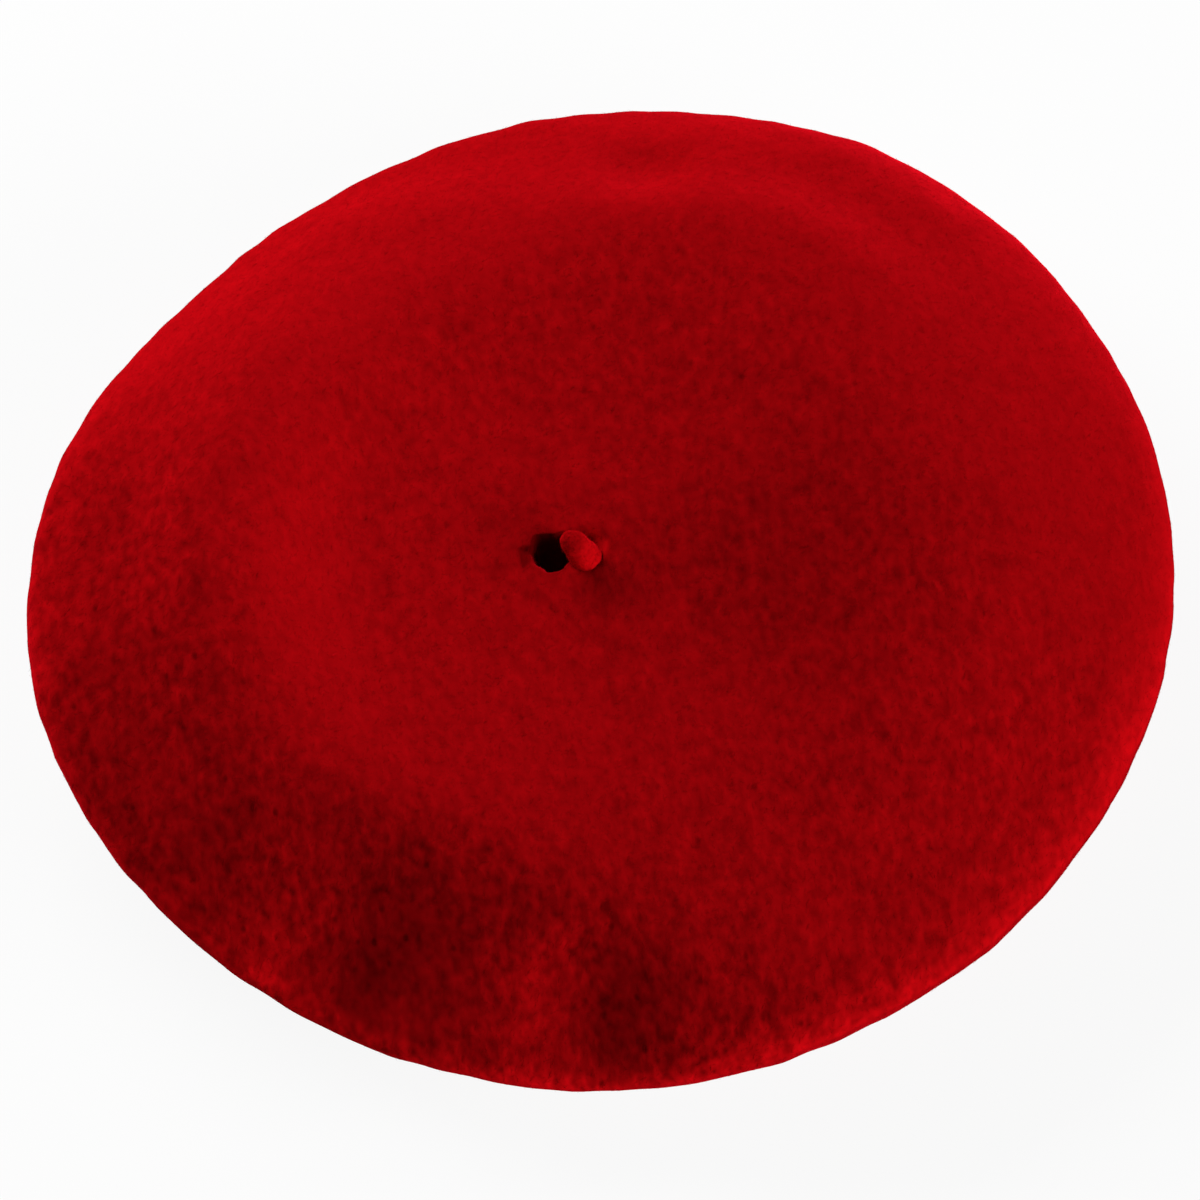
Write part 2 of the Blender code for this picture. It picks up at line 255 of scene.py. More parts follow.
@dataclass(frozen=True)
class BeretForm:
    """How the felt lies, with turns in degrees.

    Sizes are those of the CAD source, apart from the pits, which are finer here.
    Creases, and the patches of painted light and shade, are only here.
    """

    crown_radius: float = 0.140
    head_radius: float = 0.569 / (2 * math.pi)
    felt_thickness: float = 0.0022
    edge_height: float = 0.018
    crest_height: float = 0.0309
    crest_radius: float = 0.087
    crest_reach: float = 0.42
    edge_rise: float = 0.65
    dish_height: float = 0.0297
    rest_radius: float = 0.112
    hem_width: float = 0.0075
    hem_step: float = 0.0006
    rest_rings: int = 4
    cup_radius: float = 0.0075
    cup_depth: float = 0.0030
    eyelet_radius: float = 0.0016
    stalk_x: float = -0.0015
    sag_draws_edge: float = 0.25
    free_from: float = 0.026
    slide_whole_to: float = 0.020
    slide_ends_at: float = 0.080
    # Over what part of each pit's inside its painted shade comes in.
    pit_shade_span: Sequence[float] = (-0.25, 0.40)
    # Each pit's last number is how much painted shade fills it.
    pits: Sequence[Pit] = (
        Pit(-0.0086, 0.0005, 0.0053, 0.0056, -9, 0.0066, 0.90),  # beside the stalk
        Pit(-0.0154, 0.0001, 0.0016, 0.0036, -9, 0.0004, 0.45),  # a crease beyond it
    )
    lobes: Sequence[Lobe] = (
        Lobe(1, 0.0016, -27),  # the whole edge lies a little to the front right
        Lobe(3, 0.0018, 210),  # three slight corners
        Lobe(4, 0.0011, -23),  # four slighter ones
    )
    folds: Sequence[Fold] = (
        Fold(238, 0.076, 0.130, 0.0045),  # front left
        Fold(277, 0.050, 0.116, 0.0040),  # front
        Fold(104, 0.070, 0.140, 0.0080),  # back
        Fold(78, 0.093, 0.126, 0.0027),  # right of the back
    )
    hollows: Sequence[Patch] = (
        Patch(232, 0.120, 26, 0.045, 0.0066),  # large dent at the front left
        Patch(261, 0.122, 16, 0.037, 0.0040),  # smaller dent at the front
        Patch(198, 0.118, 17, 0.018, 0.0018),  # flat place on the left
        Patch(76, 0.112, 11, 0.016, 0.0010),  # notch at the back
        Patch(50, 0.117, 27, 0.017, 0.0020),  # flat place at the back right
        Patch(12, 0.077, 80, 0.095, -0.0067),  # wide rise on the right
        Patch(162, 0.090, 74, 0.038, -0.0067),  # wide rise on the left
    )
    creases: Sequence[Patch] = (
        Patch(235, 0.124, 15, 0.036, 0.0018),  # deepest part of the large dent
        Patch(262, 0.124, 10, 0.030, 0.0010),  # deepest part of the smaller one
        Patch(77, 0.114, 9, 0.014, 0.0012),  # middle of the notch
    )
    # Patches of painted light and shade on the colour: above 0 painted shade, below 0 painted light.
    light_and_shade_patches: Sequence[Patch] = (
        Patch(-12, 0.045, 95, 0.055, 0.22),  # painted shade right of the stalk
        Patch(155, 0.070, 85, 0.055, -0.20),  # painted light on the left
        Patch(-38, 0.110, 45, 0.030, -0.16),  # painted light at the front right
        Patch(0, 0.013, 720, 0.012, 0.14),  # painted shade close round the stalk
        Patch(222, 0.136, 48, 0.018, -0.30),  # painted light along the edge at the front left
        Patch(235, 0.1405, 78, 0.006, -1.15),  # painted highlight on the very edge at the front
    )

    def crest_bend(self) -> float:
        """Bend of the line at the crest, as a share of the dish's depth and radius.

        Returns:
            The bend that carries on the shoulder's, outside the crest.
        """
        run = self.crest_reach * (self.crown_radius - self.crest_radius)
        fall = (1 - self.edge_rise) * (self.crest_height - self.edge_height)
        return 2 / 3 * fall / run**2 * self.crest_radius**2 / (self.crest_height - self.dish_height)

    def crown_height(self, radius: np.ndarray) -> np.ndarray:
        """Height of the crown's outer face from the stalk's cup to the crest, level at both ends.

        Args:
            radius: distances from the middle.

        Returns:
            A height for each distance.
        """
        bend = (6 - self.crest_bend()) / 2
        share = np.clip(radius / self.crest_radius, 0, 1)
        rise = share**2 * (3 + bend - (2 + 2 * bend) * share + bend * share**2)
        cup = self.cup_depth * bump(radius / self.cup_radius)
        return self.dish_height + (self.crest_height - self.dish_height) * rise - cup

    def outer_path(self, dish: int, shoulder: int, under: int, spread: float = 1.5) -> Path:
        """The felt's outer face from the eyelet over the edge to the hem.

        Args:
            dish: rings of the sunken crown.
            shoulder: rings from the crest to the widest place.
            under: rings from there to the table.
            spread: how much the rings crowd towards the stalk.

        Returns:
            Rows of radius and height.
        """
        share = np.linspace(0, 1, dish + 1) ** spread
        radius = self.eyelet_radius + (self.crest_radius - self.eyelet_radius) * share
        crown = np.column_stack((radius, self.crown_height(radius)))
        crest = np.array((self.crest_radius, self.crest_height))
        widest = np.array((self.crown_radius, self.edge_height))
        level = crest + (self.crest_reach * (self.crown_radius - self.crest_radius), 0)
        steep = widest + (0, self.edge_rise * (self.crest_height - self.edge_height))
        t = np.linspace(0, 1, shoulder + 1)[1:, None]
        inner = (1 - t) ** 3 * crest + 3 * (1 - t) ** 2 * t * level
        edge = inner + 3 * (1 - t) * t**2 * steep + t**3 * widest
        low = (self.crown_radius - self.rest_radius, self.edge_height)
        roll = arc((self.rest_radius, self.edge_height), low, 0, -90, under)[1:]
        flat = np.linspace(self.rest_radius, self.head_radius + self.hem_width, self.rest_rings + 1)[1:]
        rest = np.column_stack((flat, 0 * flat))
        return np.concatenate((crown, edge, roll, rest))

    def hem_path(self, count: int) -> Path:
        """The fold of the hem and the end of the turned-in felt.

        Args:
            count: steps round the fold.

        Returns:
            Rows of radius and height.
        """
        thickness = self.felt_thickness
        fold = arc((self.head_radius + thickness, thickness), (thickness, thickness), -90, -270, count)
        end = (self.head_radius + self.hem_width - self.hem_step, 2 * thickness)
        return np.vstack((fold, end))

    def sag(self, angle: np.ndarray, radius: np.ndarray) -> np.ndarray:
        """How far the folds and hollows let the crown down.

        Args:
            angle: directions in radians.
            radius: distances from the middle.

        Returns:
            A depth for each place.
        """
        depth = np.zeros_like(radius)
        for fold in self.folds:
            away = radius * np.cos(angle - math.radians(fold.turn))
            depth += fold.drop * smooth(fold.start, fold.end, away)
        return depth + sum(patch.over(angle, radius) for patch in (*self.hollows, *self.creases))

    def painted_light_and_shade(self, points: np.ndarray) -> np.ndarray:
        """How much painted shade darkens the felt, or painted light lightens it, for points of the even
        beret.

        Painted shade fills the pits, and patches of painted light and shade lie on the crown and the edge.

        Args:
            points: coordinates along the last axis.

        Returns:
            A share for each point, below 0 where it looks lighter.
        """
        x, y, z = np.moveaxis(points, -1, 0)
        angle, radius = np.arctan2(y, x), np.hypot(x, y)
        # Painted shade in the pits, and painted light and shade from the patches, fading out towards the
        # table.
        painted_shade = [pit.dark * smooth(*self.pit_shade_span, pit.within(x, y)) for pit in self.pits]
        laid = sum(patch.over(angle, radius) for patch in self.light_and_shade_patches)
        return (np.max(painted_shade, axis=0) + laid) * smooth(0, self.free_from, z)

    def drape(self, points: np.ndarray, pitted: bool = True) -> np.ndarray:
        """Moves points of the round, even beret to where they lie in the soft felt.

        Args:
            points: coordinates along the last axis.
            pitted: whether the pits go into what is moved.

        Returns:
            The moved points.
        """
        x, y, z = np.moveaxis(points, -1, 0)
        radius, angle = np.hypot(x, y), np.arctan2(y, x)
        freedom = smooth(0, self.free_from, z)
        depth = freedom * self.sag(angle, radius)
        swell = sum(lobe.size * np.cos(lobe.count * angle - math.radians(lobe.turn)) for lobe in self.lobes)
        edge = smooth(self.rest_radius, self.crown_radius, radius)
        reach = radius + edge * (swell - self.sag_draws_edge * depth)
        slide = self.stalk_x * (1 - smooth(self.slide_whole_to, self.slide_ends_at, radius)) * freedom
        if pitted:
            depth = depth + freedom * sum(pit.sink(x, y) for pit in self.pits)
        return np.stack((reach * np.cos(angle) + slide, reach * np.sin(angle), z - depth), axis=-1)


# Meshes


def grid_normals(points: np.ndarray) -> np.ndarray:
    """Outward directions of rings of points that run from the middle of the crown outwards.

    Args:
        points: rings, steps and coordinates.

    Returns:
        One unit vector for each point.
    """
    outwards = np.gradient(points, axis=0)
    around = np.roll(points, -1, axis=1) - np.roll(points, 1, axis=1)
    normal = np.cross(outwards, around)
    return normal / np.maximum(np.linalg.norm(normal, axis=-1, keepdims=True), 1e-12)


def ring_faces(rings: int, steps: int, closed: bool) -> np.ndarray:
    """Corners of the four-sided faces between rings of points.

    Args:
        rings: number of rings.
        steps: points in each ring.
        closed: whether the last ring joins the first.

    Returns:
        Rows of four point numbers.
    """
    first = np.arange(rings if closed else rings - 1)[:, None]
    second = (first + 1) % rings
    here = np.arange(steps)[None, :]
    beside = (here + 1) % steps
    corners = (first * steps + here, second * steps + here, second * steps + beside, first * steps + beside)
    return np.stack(corners, axis=-1).reshape(-1, 4)


def place(name: str, data: bpy.types.ID) -> bpy.types.Object:
    """A new object at the origin, linked to the scene.

    Args:
        name: the object's name.
        data: its mesh, light or camera.

    Returns:
        The object.
    """
    made = bpy.data.objects.new(name, data)
    bpy.context.scene.collection.objects.link(made)
    return made


def mesh_piece(
    name: str, points: np.ndarray, faces: Iterable[Sequence[int]], material: bpy.types.Material
) -> bpy.types.Object:
    """A new smooth-shaded object with its place in its mesh.

    Args:
        name: the piece's name.
        points: coordinates along the last axis.
        faces: point numbers of each face.
        material: its finish.

    Returns:
        The object, linked to the scene.
    """
    mesh = bpy.data.meshes.new(name)
    mesh.from_pydata(points.reshape(-1, 3).tolist(), [], [list(map(int, face)) for face in faces])
    mesh.materials.append(material)
    mesh.shade_smooth()
    return place(name, mesh)


def pole_faces(rings: int, steps: int) -> list[list[int]]:
    """Faces of rings whose first and last ring are each closed by one face.

    Args:
        rings: number of rings.
        steps: points in each ring.

    Returns:
        Point numbers of each face.
    """
    last = (rings - 1) * steps
    faces = ring_faces(rings, steps, False).tolist()
    faces.append(list(range(steps)))
    faces.append([last + step for step in reversed(range(steps))])
    return faces


def strip_piece(name: str, sections: np.ndarray, material: bpy.types.Material) -> bpy.types.Object:
    """A closed bar from cross sections along its length, with an end face at each end.

    Args:
        name: the piece's name.
        sections: sections, points round each section, and coordinates.
        material: its finish.

    Returns:
        The object.
    """
    count, around = sections.shape[:2]
    piece = mesh_piece(name, sections, pole_faces(count, around), material)
    face_outwards(piece.data)
    return piece


def mark(mesh: bpy.types.Mesh, name: str, values: np.ndarray) -> None:
    """Stores a number at each point of a mesh, for its finish to read."""
    layer = mesh.attributes.new(name, "FLOAT", "POINT")
    layer.data.foreach_set("value", values.astype(np.float32).ravel())


def face_outwards(mesh: bpy.types.Mesh) -> None:
    """Turns a closed mesh's faces outwards where its volume comes out negative.

    Args:
        mesh: the closed mesh.
    """
    mesh.calc_loop_triangles()
    corners = np.empty(len(mesh.loop_triangles) * 3, np.int32)
    mesh.loop_triangles.foreach_get("vertices", corners)
    places = np.empty(len(mesh.vertices) * 3, np.float32)
    mesh.vertices.foreach_get("co", places)
    a, b, c = np.moveaxis(places.reshape(-1, 3)[corners.reshape(-1, 3)], 1, 0)
    if np.einsum("ij,ij->i", a, np.cross(b, c)).sum() < 0:
        mesh.flip_normals()


# Nodes


class NodeTree:
    """Short ways to add and join the nodes of one tree."""

    def __init__(self, tree: bpy.types.NodeTree) -> None:
        """Keeps the tree to add to."""
        self.tree = tree

    def add(self, kind: str, inputs: dict[str, object] | None = None, **settings: object) -> bpy.types.Node:
        """Adds a node.

        Args:
            kind: Blender's name for the node's type.
            inputs: values or sockets for its inputs, by name.
            settings: its properties.

        Returns:
            The node.
        """
        node = self.tree.nodes.new(kind)
        for key, value in settings.items():
            setattr(node, key, value)
        for key, value in (inputs or {}).items():
            self.feed(self.socket(node.inputs, key), value)
        return node

    def give(self, node: bpy.types.Node, values: dict[str, object]) -> None:
        """Gives several of a node's inputs a value or a socket, by name."""
        for label, value in values.items():
            self.feed(node.inputs[label], value)

    def feed(self, target: bpy.types.NodeSocket, value: object) -> None:
        """Gives an input a value, or joins a socket to it.

        Args:
            target: the input.
            value: a plain value, or the output to join.
        """
        if isinstance(value, bpy.types.NodeSocket):
            self.tree.links.new(value, target)
        else:
            target.default_value = value

    @staticmethod
    def socket(sockets: Iterable[bpy.types.NodeSocket], name: str) -> bpy.types.NodeSocket:
        """The socket of that name which the node's present settings use."""
        return next(socket for socket in sockets if socket.name == name and socket.enabled)

    def out(self, node: bpy.types.Node, name: str) -> bpy.types.NodeSocket:
        """The output of that name which the node's present settings use."""
        return self.socket(node.outputs, name)

    def read(self, name: str) -> bpy.types.NodeSocket:
        """The number that the mesh stores under a name."""
        return self.add("ShaderNodeAttribute", attribute_name=name).outputs["Fac"]

    def math(self, operation: str, first: object, second: object = 0.0) -> bpy.types.NodeSocket:
        """A sum on one or two numbers.

        Args:
            operation: Blender's name for it.
            first: a number or socket.
            second: a number or socket.

        Returns:
            The result.
        """
        node = self.tree.nodes.new(type="ShaderNodeMath")
        node.operation = operation
        self.feed(node.inputs[0], first)
        self.feed(node.inputs[1], second)
        return node.outputs[0]

    def bump(self, height: object, distance: float, strength: float = 1.0) -> bpy.types.NodeSocket:
        """The direction of a surface with a fine relief.

        Args:
            height: the relief's pattern.
            distance: how far it stands out.
            strength: how much of it shows.

        Returns:
            The normal.
        """
        relief = {"Height": height, "Distance": distance, "Strength": strength}
        return self.add("ShaderNodeBump", relief).outputs[0]

    def ramp(
        self, value: object, low: float, high: float, start: float = 0.0, end: float = 1.0
    ) -> bpy.types.NodeSocket:
        """Maps a number from one range to another, and keeps it there.

        Args:
            value: a number or socket.
            low: becomes start.
            high: becomes end.
            start: first result.
            end: last result.

        Returns:
            The result.
        """
        limits = {"Value": value, "From Min": low, "From Max": high, "To Min": start, "To Max": end}
        return self.out(self.add("ShaderNodeMapRange", limits), "Result")

    def dressed(self, geometry: bpy.types.NodeSocket, material: bpy.types.NodeSocket) -> bpy.types.NodeSocket:
        """A geometry with smooth shading and its material."""
        soft = self.add("GeometryNodeSetShadeSmooth", {"Geometry": geometry}).outputs[0]
        return self.add("GeometryNodeSetMaterial", {"Geometry": soft, "Material": material}).outputs[0]

    def mix(self, share: object, first: Colour, second: Colour) -> bpy.types.NodeSocket:
        """A colour between two colours.

        Args:
            share: 0 for the first and 1 for the second, as a number or socket.
            first: linear colour.
            second: linear colour.

        Returns:
            The colour.
        """
        node = self.add("ShaderNodeMix", data_type="RGBA")
        self.feed(self.socket(node.inputs, "Factor"), share)
        self.feed(self.socket(node.inputs, "A"), (*first, 1.0))
        self.feed(self.socket(node.inputs, "B"), (*second, 1.0))
        return self.out(node, "Result")


class Socket(Enum):
    """Kinds of socket that the node groups use."""

    NUMBER = "NodeSocketFloat"
    WHOLE = "NodeSocketInt"
    VECTOR = "NodeSocketVector"
    GEOMETRY = "NodeSocketGeometry"
    MATERIAL = "NodeSocketMaterial"


def new_group(
    name: str, kind: str, inputs: dict[str, Socket], outputs: dict[str, Socket]
) -> tuple[NodeTree, bpy.types.Node, bpy.types.Node]:
    """An empty node group with named sockets.

    Args:
        name: the group's name.
        kind: Blender's name for the tree's type.
        inputs: kinds of its inputs by name.
        outputs: kinds of its outputs by name.

    Returns:
        The tree, its input node and its output node.
    """
    group = bpy.data.node_groups.new(name, kind)
    for label, socket in inputs.items():
        group.interface.new_socket(name=label, in_out="INPUT", socket_type=socket.value)
    for label, socket in outputs.items():
        group.interface.new_socket(name=label, in_out="OUTPUT", socket_type=socket.value)
    tree = NodeTree(group)
    return tree, tree.add("NodeGroupInput"), tree.add("NodeGroupOutput")


def mottle_group() -> bpy.types.NodeTree:
    """Brushed fulled wool: soft tufts with dark pits between them, which carry painted shade, and wider
    clouds.

    Returns:
        The shader node group.
    """
    inputs = {
        "Vector": Socket.VECTOR,
        "Cloud Size": Socket.NUMBER,
        "Tuft Size": Socket.NUMBER,
        "Tuft Share": Socket.NUMBER,
        "Pit Depth": Socket.NUMBER,
        "Contrast": Socket.NUMBER,
    }
    outputs = {"Tone": Socket.NUMBER, "Height": Socket.NUMBER}
    tree, given, result = new_group("felt_mottle", "ShaderNodeTree", inputs, outputs)
    drawn_out = (1.0, 0.65, 1.0)
    cells_per_tuft = 0.6
    cells_with_pits = (0.4, 1.0)
    pit_rim = (0.08, 0.24)
    usual_height = 0.48
    mapping = tree.add("ShaderNodeMapping", {"Vector": given.outputs["Vector"], "Scale": drawn_out})
    brushed = mapping.outputs[0]
    clouds = tree.add("ShaderNodeTexNoise", {"Vector": brushed, "Detail": 1.0})
    tree.feed(clouds.inputs["Scale"], tree.math("DIVIDE", 1.0, given.outputs["Cloud Size"]))
    tufts = tree.add("ShaderNodeTexNoise", {"Vector": brushed, "Detail": 1.0, "Roughness": 0.4})
    tree.feed(tufts.inputs["Scale"], tree.math("DIVIDE", 1.0, given.outputs["Tuft Size"]))
    share = given.outputs["Tuft Share"]
    near = tree.math("MULTIPLY", tufts.outputs[0], share)
    wide = tree.math("MULTIPLY", clouds.outputs[0], tree.math("SUBTRACT", 1.0, share))
    both = tree.math("ADD", near, wide)
    cells = tree.add("ShaderNodeTexVoronoi", {"Vector": brushed, "Randomness": 1.0}, feature="F1")
    tree.feed(cells.inputs["Scale"], tree.math("DIVIDE", cells_per_tuft, given.outputs["Tuft Size"]))
    drawn = tree.add("ShaderNodeSeparateColor", {"Color": cells.outputs["Color"]}).outputs[0]
    near_middle = tree.ramp(cells.outputs["Distance"], *pit_rim, 1.0, 0.0)
    pits = tree.math("MULTIPLY", near_middle, tree.ramp(drawn, *cells_with_pits))
    height = tree.math("SUBTRACT", both, tree.math("MULTIPLY", pits, given.outputs["Pit Depth"]))
    above = tree.math("SUBTRACT", height, usual_height)
    swing = tree.math("MULTIPLY", above, given.outputs["Contrast"])
    # The tone follows the height: the wool's own random tone, with painted shade darkening the pits and low
    # places.
    tree.feed(result.inputs["Tone"], tree.math("ADD", swing, 0.5))
    tree.feed(result.inputs["Height"], height)
    return tree.tree


def satin_group() -> bpy.types.NodeTree:
    """Fine floating threads of satin along one direction of the cloth's own map.

    Returns:
        The shader node group.
    """
    inputs = {"Vector": Socket.VECTOR, "Thread Size": Socket.NUMBER}
    outputs = {"Tone": Socket.NUMBER, "Height": Socket.NUMBER}
    tree, given, result = new_group("satin_threads", "ShaderNodeTree", inputs, outputs)
    float_length = 5.0  # in threads
    roundness = 0.25
    tone_range = (0.1, 0.9)
    size = given.outputs["Thread Size"]
    split = tree.add("ShaderNodeSeparateXYZ", {"Vector": given.outputs["Vector"]})
    across = tree.math("DIVIDE", split.outputs["X"], size)
    along = tree.math("DIVIDE", split.outputs["Y"], tree.math("MULTIPLY", size, float_length))
    turned = tree.add("ShaderNodeCombineXYZ", {"X": across, "Y": along})
    floats = tree.add("ShaderNodeTexNoise", {"Vector": turned.outputs[0], "Scale": 1.0, "Detail": 1.0})
    rounded = tree.math("SINE", tree.math("MULTIPLY", across, 2 * math.pi))
    height = tree.math("ADD", tree.math("MULTIPLY", rounded, roundness), floats.outputs[0])
    tree.feed(result.inputs["Tone"], tree.ramp(height, *tone_range))
    tree.feed(result.inputs["Height"], height)
    return tree.tree


def grain_group() -> bpy.types.NodeTree:
    """Pebbled leather: a tone for the colour, a height for the bump and how worn each place is.

    Returns:
        The shader node group.
    """
    inputs = {"Vector": Socket.VECTOR, "Pebble Size": Socket.NUMBER}
    outputs = {"Tone": Socket.NUMBER, "Height": Socket.NUMBER, "Roughness": Socket.NUMBER}
    tree, given, result = new_group("leather_grain", "ShaderNodeTree", inputs, outputs)
    dome_reach = 0.7
    groove_tone = 0.6
    wear_per_metre = 90.0
    wear_range = (0.3, 0.7)
    roughness_range = (0.38, 0.56)
    scale = tree.math("DIVIDE", 1.0, given.outputs["Pebble Size"])
    where = given.outputs["Vector"]
    pebbles = tree.add("ShaderNodeTexVoronoi", {"Vector": where, "Randomness": 1.0}, feature="SMOOTH_F1")
    tree.feed(pebbles.inputs["Scale"], scale)
    wear = tree.add("ShaderNodeTexNoise", {"Vector": where, "Scale": wear_per_metre, "Detail": 4.0})
    dome = tree.ramp(pebbles.outputs["Distance"], 0.0, dome_reach, 1.0, 0.0)
    grooved = tree.ramp(dome, 0.0, 0.5, groove_tone, 1.0)
    tree.feed(result.inputs["Tone"], tree.math("MULTIPLY", grooved, wear.outputs[0]))
    tree.feed(result.inputs["Height"], dome)
    tree.feed(result.inputs["Roughness"], tree.ramp(wear.outputs[0], *wear_range, *roughness_range))
    return tree.tree


def nap_group() -> bpy.types.NodeTree:
    """Short arched fibres lying on a surface, each a closed spindle of six faces.

    Returns:
        The geometry node group.
    """
    inputs = {
        "Surface": Socket.GEOMETRY,
        "Density": Socket.NUMBER,
        "Length": Socket.NUMBER,
        "Width": Socket.NUMBER,
        "Arch": Socket.NUMBER,
        "Tilt": Socket.NUMBER,
        "Seed": Socket.WHOLE,
        "Map Span": Socket.NUMBER,
        "Material": Socket.MATERIAL,
    }
    tree, given, result = new_group("nap_fibres", "GeometryNodeTree", inputs, {"Fibres": Socket.GEOMETRY})
    get = given.outputs
    middle_lift = 0.75  # as a share of the arch
    size_range = (0.55, 1.35)
    spindle = tree.add("GeometryNodeMeshUVSphere", {"Segments": 3, "Rings": 2, "Radius": 0.5})
    size = tree.add("ShaderNodeCombineXYZ", {"X": get["Width"], "Y": get["Width"], "Z": get["Length"]})
    quarter = (0.0, math.pi / 2, 0.0)
    along = {"Geometry": spindle.outputs["Mesh"], "Rotation": quarter, "Scale": size.outputs[0]}
    laid = tree.add("GeometryNodeTransform", along)
    where = tree.add("ShaderNodeSeparateXYZ", {"Vector": tree.add("GeometryNodeInputPosition").outputs[0]})
    reach = tree.math("DIVIDE", tree.math("ABSOLUTE", where.outputs["X"]), get["Length"])
    fall = tree.math("SUBTRACT", middle_lift, tree.math("MULTIPLY", reach, 2.0))
    lift = tree.math("MULTIPLY", get["Arch"], fall)
    arched = tree.add("GeometryNodeSetPosition", {"Geometry": laid.outputs[0]})
    tree.feed(arched.inputs["Offset"], tree.add("ShaderNodeCombineXYZ", {"Z": lift}).outputs[0])
    sown = {"Mesh": get["Surface"], "Density": get["Density"], "Seed": get["Seed"]}
    spots = tree.add("GeometryNodeDistributePointsOnFaces", sown)

    def chance(low: object, high: object, salt: int) -> bpy.types.NodeSocket:
        """A number by chance for each fibre, from low to high."""
        limits = {"Min": low, "Max": high, "Seed": tree.math("ADD", get["Seed"], float(salt))}
        return tree.out(tree.add("FunctionNodeRandomValue", limits, data_type="FLOAT"), "Value")

    lean = tree.math("MULTIPLY", get["Tilt"], tree.math("POWER", chance(-1.0, 1.0, 1), 3.0))
    turn = tree.add("ShaderNodeCombineXYZ", {"Y": lean, "Z": chance(0.0, 2 * math.pi, 2)})
    spin = tree.add("FunctionNodeEulerToRotation", {"Euler": turn.outputs[0]})
    turned = {"Rotation": spots.outputs["Rotation"], "Rotate By": spin.outputs[0]}
    pose = tree.add("FunctionNodeRotateRotation", turned, rotation_space="LOCAL")
    stood = {"Points": spots.outputs["Points"], "Instance": arched.outputs[0], "Rotation": pose.outputs[0]}
    fibres = tree.add("GeometryNodeInstanceOnPoints", stood)
    tree.feed(fibres.inputs["Scale"], chance(*size_range, 3))
    tone = {"Geometry": fibres.outputs[0], "Name": TONE, "Value": chance(0.0, 1.0, 4)}
    toned = tree.add("GeometryNodeStoreNamedAttribute", tone, data_type="FLOAT", domain="INSTANCE")
    real = tree.add("GeometryNodeRealizeInstances", {"Geometry": toned.outputs[0]})
    spread = tree.add("ShaderNodeVectorMath", operation="SCALE")
    tree.feed(spread.inputs[0], tree.add("GeometryNodeInputPosition").outputs[0])
    tree.feed(tree.socket(spread.inputs, "Scale"), tree.math("DIVIDE", 1.0, get["Map Span"]))
    centred = tree.add("ShaderNodeVectorMath", operation="ADD")
    tree.feed(centred.inputs[0], spread.outputs[0])
    tree.feed(centred.inputs[1], (0.5, 0.5, 0.0))
    flat = {"Geometry": real.outputs[0], "Name": BAKE_MAP}
    mapped = tree.add("GeometryNodeStoreNamedAttribute", flat, data_type="FLOAT2", domain="CORNER")
    tree.feed(tree.socket(mapped.inputs, "Value"), centred.outputs[0])
    tree.feed(result.inputs["Fibres"], tree.dressed(mapped.outputs[0], get["Material"]))
    return tree.tree


def stitch_group() -> bpy.types.NodeTree:
    """A row of plump stitches along a line of edges.

    Returns:
        The geometry node group.
    """
    inputs = {
        "Line": Socket.GEOMETRY,
        "Spacing": Socket.NUMBER,
        "Length": Socket.NUMBER,
        "Thickness": Socket.NUMBER,
        "Material": Socket.MATERIAL,
    }
    tree, given, result = new_group("stitch_row", "GeometryNodeTree", inputs, {"Stitches": Socket.GEOMETRY})
    get = given.outputs
    line = tree.add("GeometryNodeMeshToCurve", {"Mesh": get["Line"]})
    spaced = {"Curve": line.outputs[0], "Length": get["Spacing"]}
    marks = tree.add("GeometryNodeCurveToPoints", spaced, mode="LENGTH").outputs
    ball = tree.add("GeometryNodeMeshUVSphere", {"Segments": 8, "Rings": 6, "Radius": 0.5})
    thick = get["Thickness"]
    size = tree.add("ShaderNodeCombineXYZ", {"X": thick, "Y": thick, "Z": get["Length"]})
    stitch = tree.add("GeometryNodeTransform", {"Geometry": ball.outputs["Mesh"], "Scale": size.outputs[0]})
    laid = {"Points": marks["Points"], "Instance": stitch.outputs[0], "Rotation": marks["Rotation"]}
    sewn = tree.add("GeometryNodeInstanceOnPoints", laid)
    real = tree.add("GeometryNodeRealizeInstances", {"Geometry": sewn.outputs[0]})
    tree.feed(result.inputs["Stitches"], tree.dressed(real.outputs[0], get["Material"]))
    return tree.tree


def grow(
    name: str, carrier: bpy.types.Object, group: bpy.types.NodeTree, values: dict[str, object]
) -> bpy.types.Object:
    """Runs a geometry node group on a carrier mesh and keeps the result as a plain mesh.

    Args:
        name: the new piece's name.
        carrier: the mesh that the group starts from, which is removed.
        group: the geometry node group.
        values: its inputs by name.

    Returns:
        The new piece.
    """
    modifier = carrier.modifiers.new(group.name, "NODES")
    modifier.node_group = group
    for item in group.interface.items_tree:
        if item.item_type == "SOCKET" and item.in_out == "INPUT" and item.name in values:
            modifier[item.identifier] = values[item.name]
    graph = bpy.context.evaluated_depsgraph_get()
    mesh = bpy.data.meshes.new_from_object(carrier.evaluated_get(graph))
    mesh.name = name
    carrier.modifiers.remove(modifier)
    bpy.data.objects.remove(carrier)
    return place(name, mesh)


# Finishes


def new_material(name: str) -> tuple[bpy.types.Material, NodeTree, bpy.types.Node]:
    """A node material with its shader.

    Args:
        name: the material's name.

    Returns:
        The material, its tree and its Principled shader.
    """
    material = bpy.data.materials.new(name)
    material.use_nodes = True
    return material, NodeTree(material.node_tree), material.node_tree.nodes["Principled BSDF"]


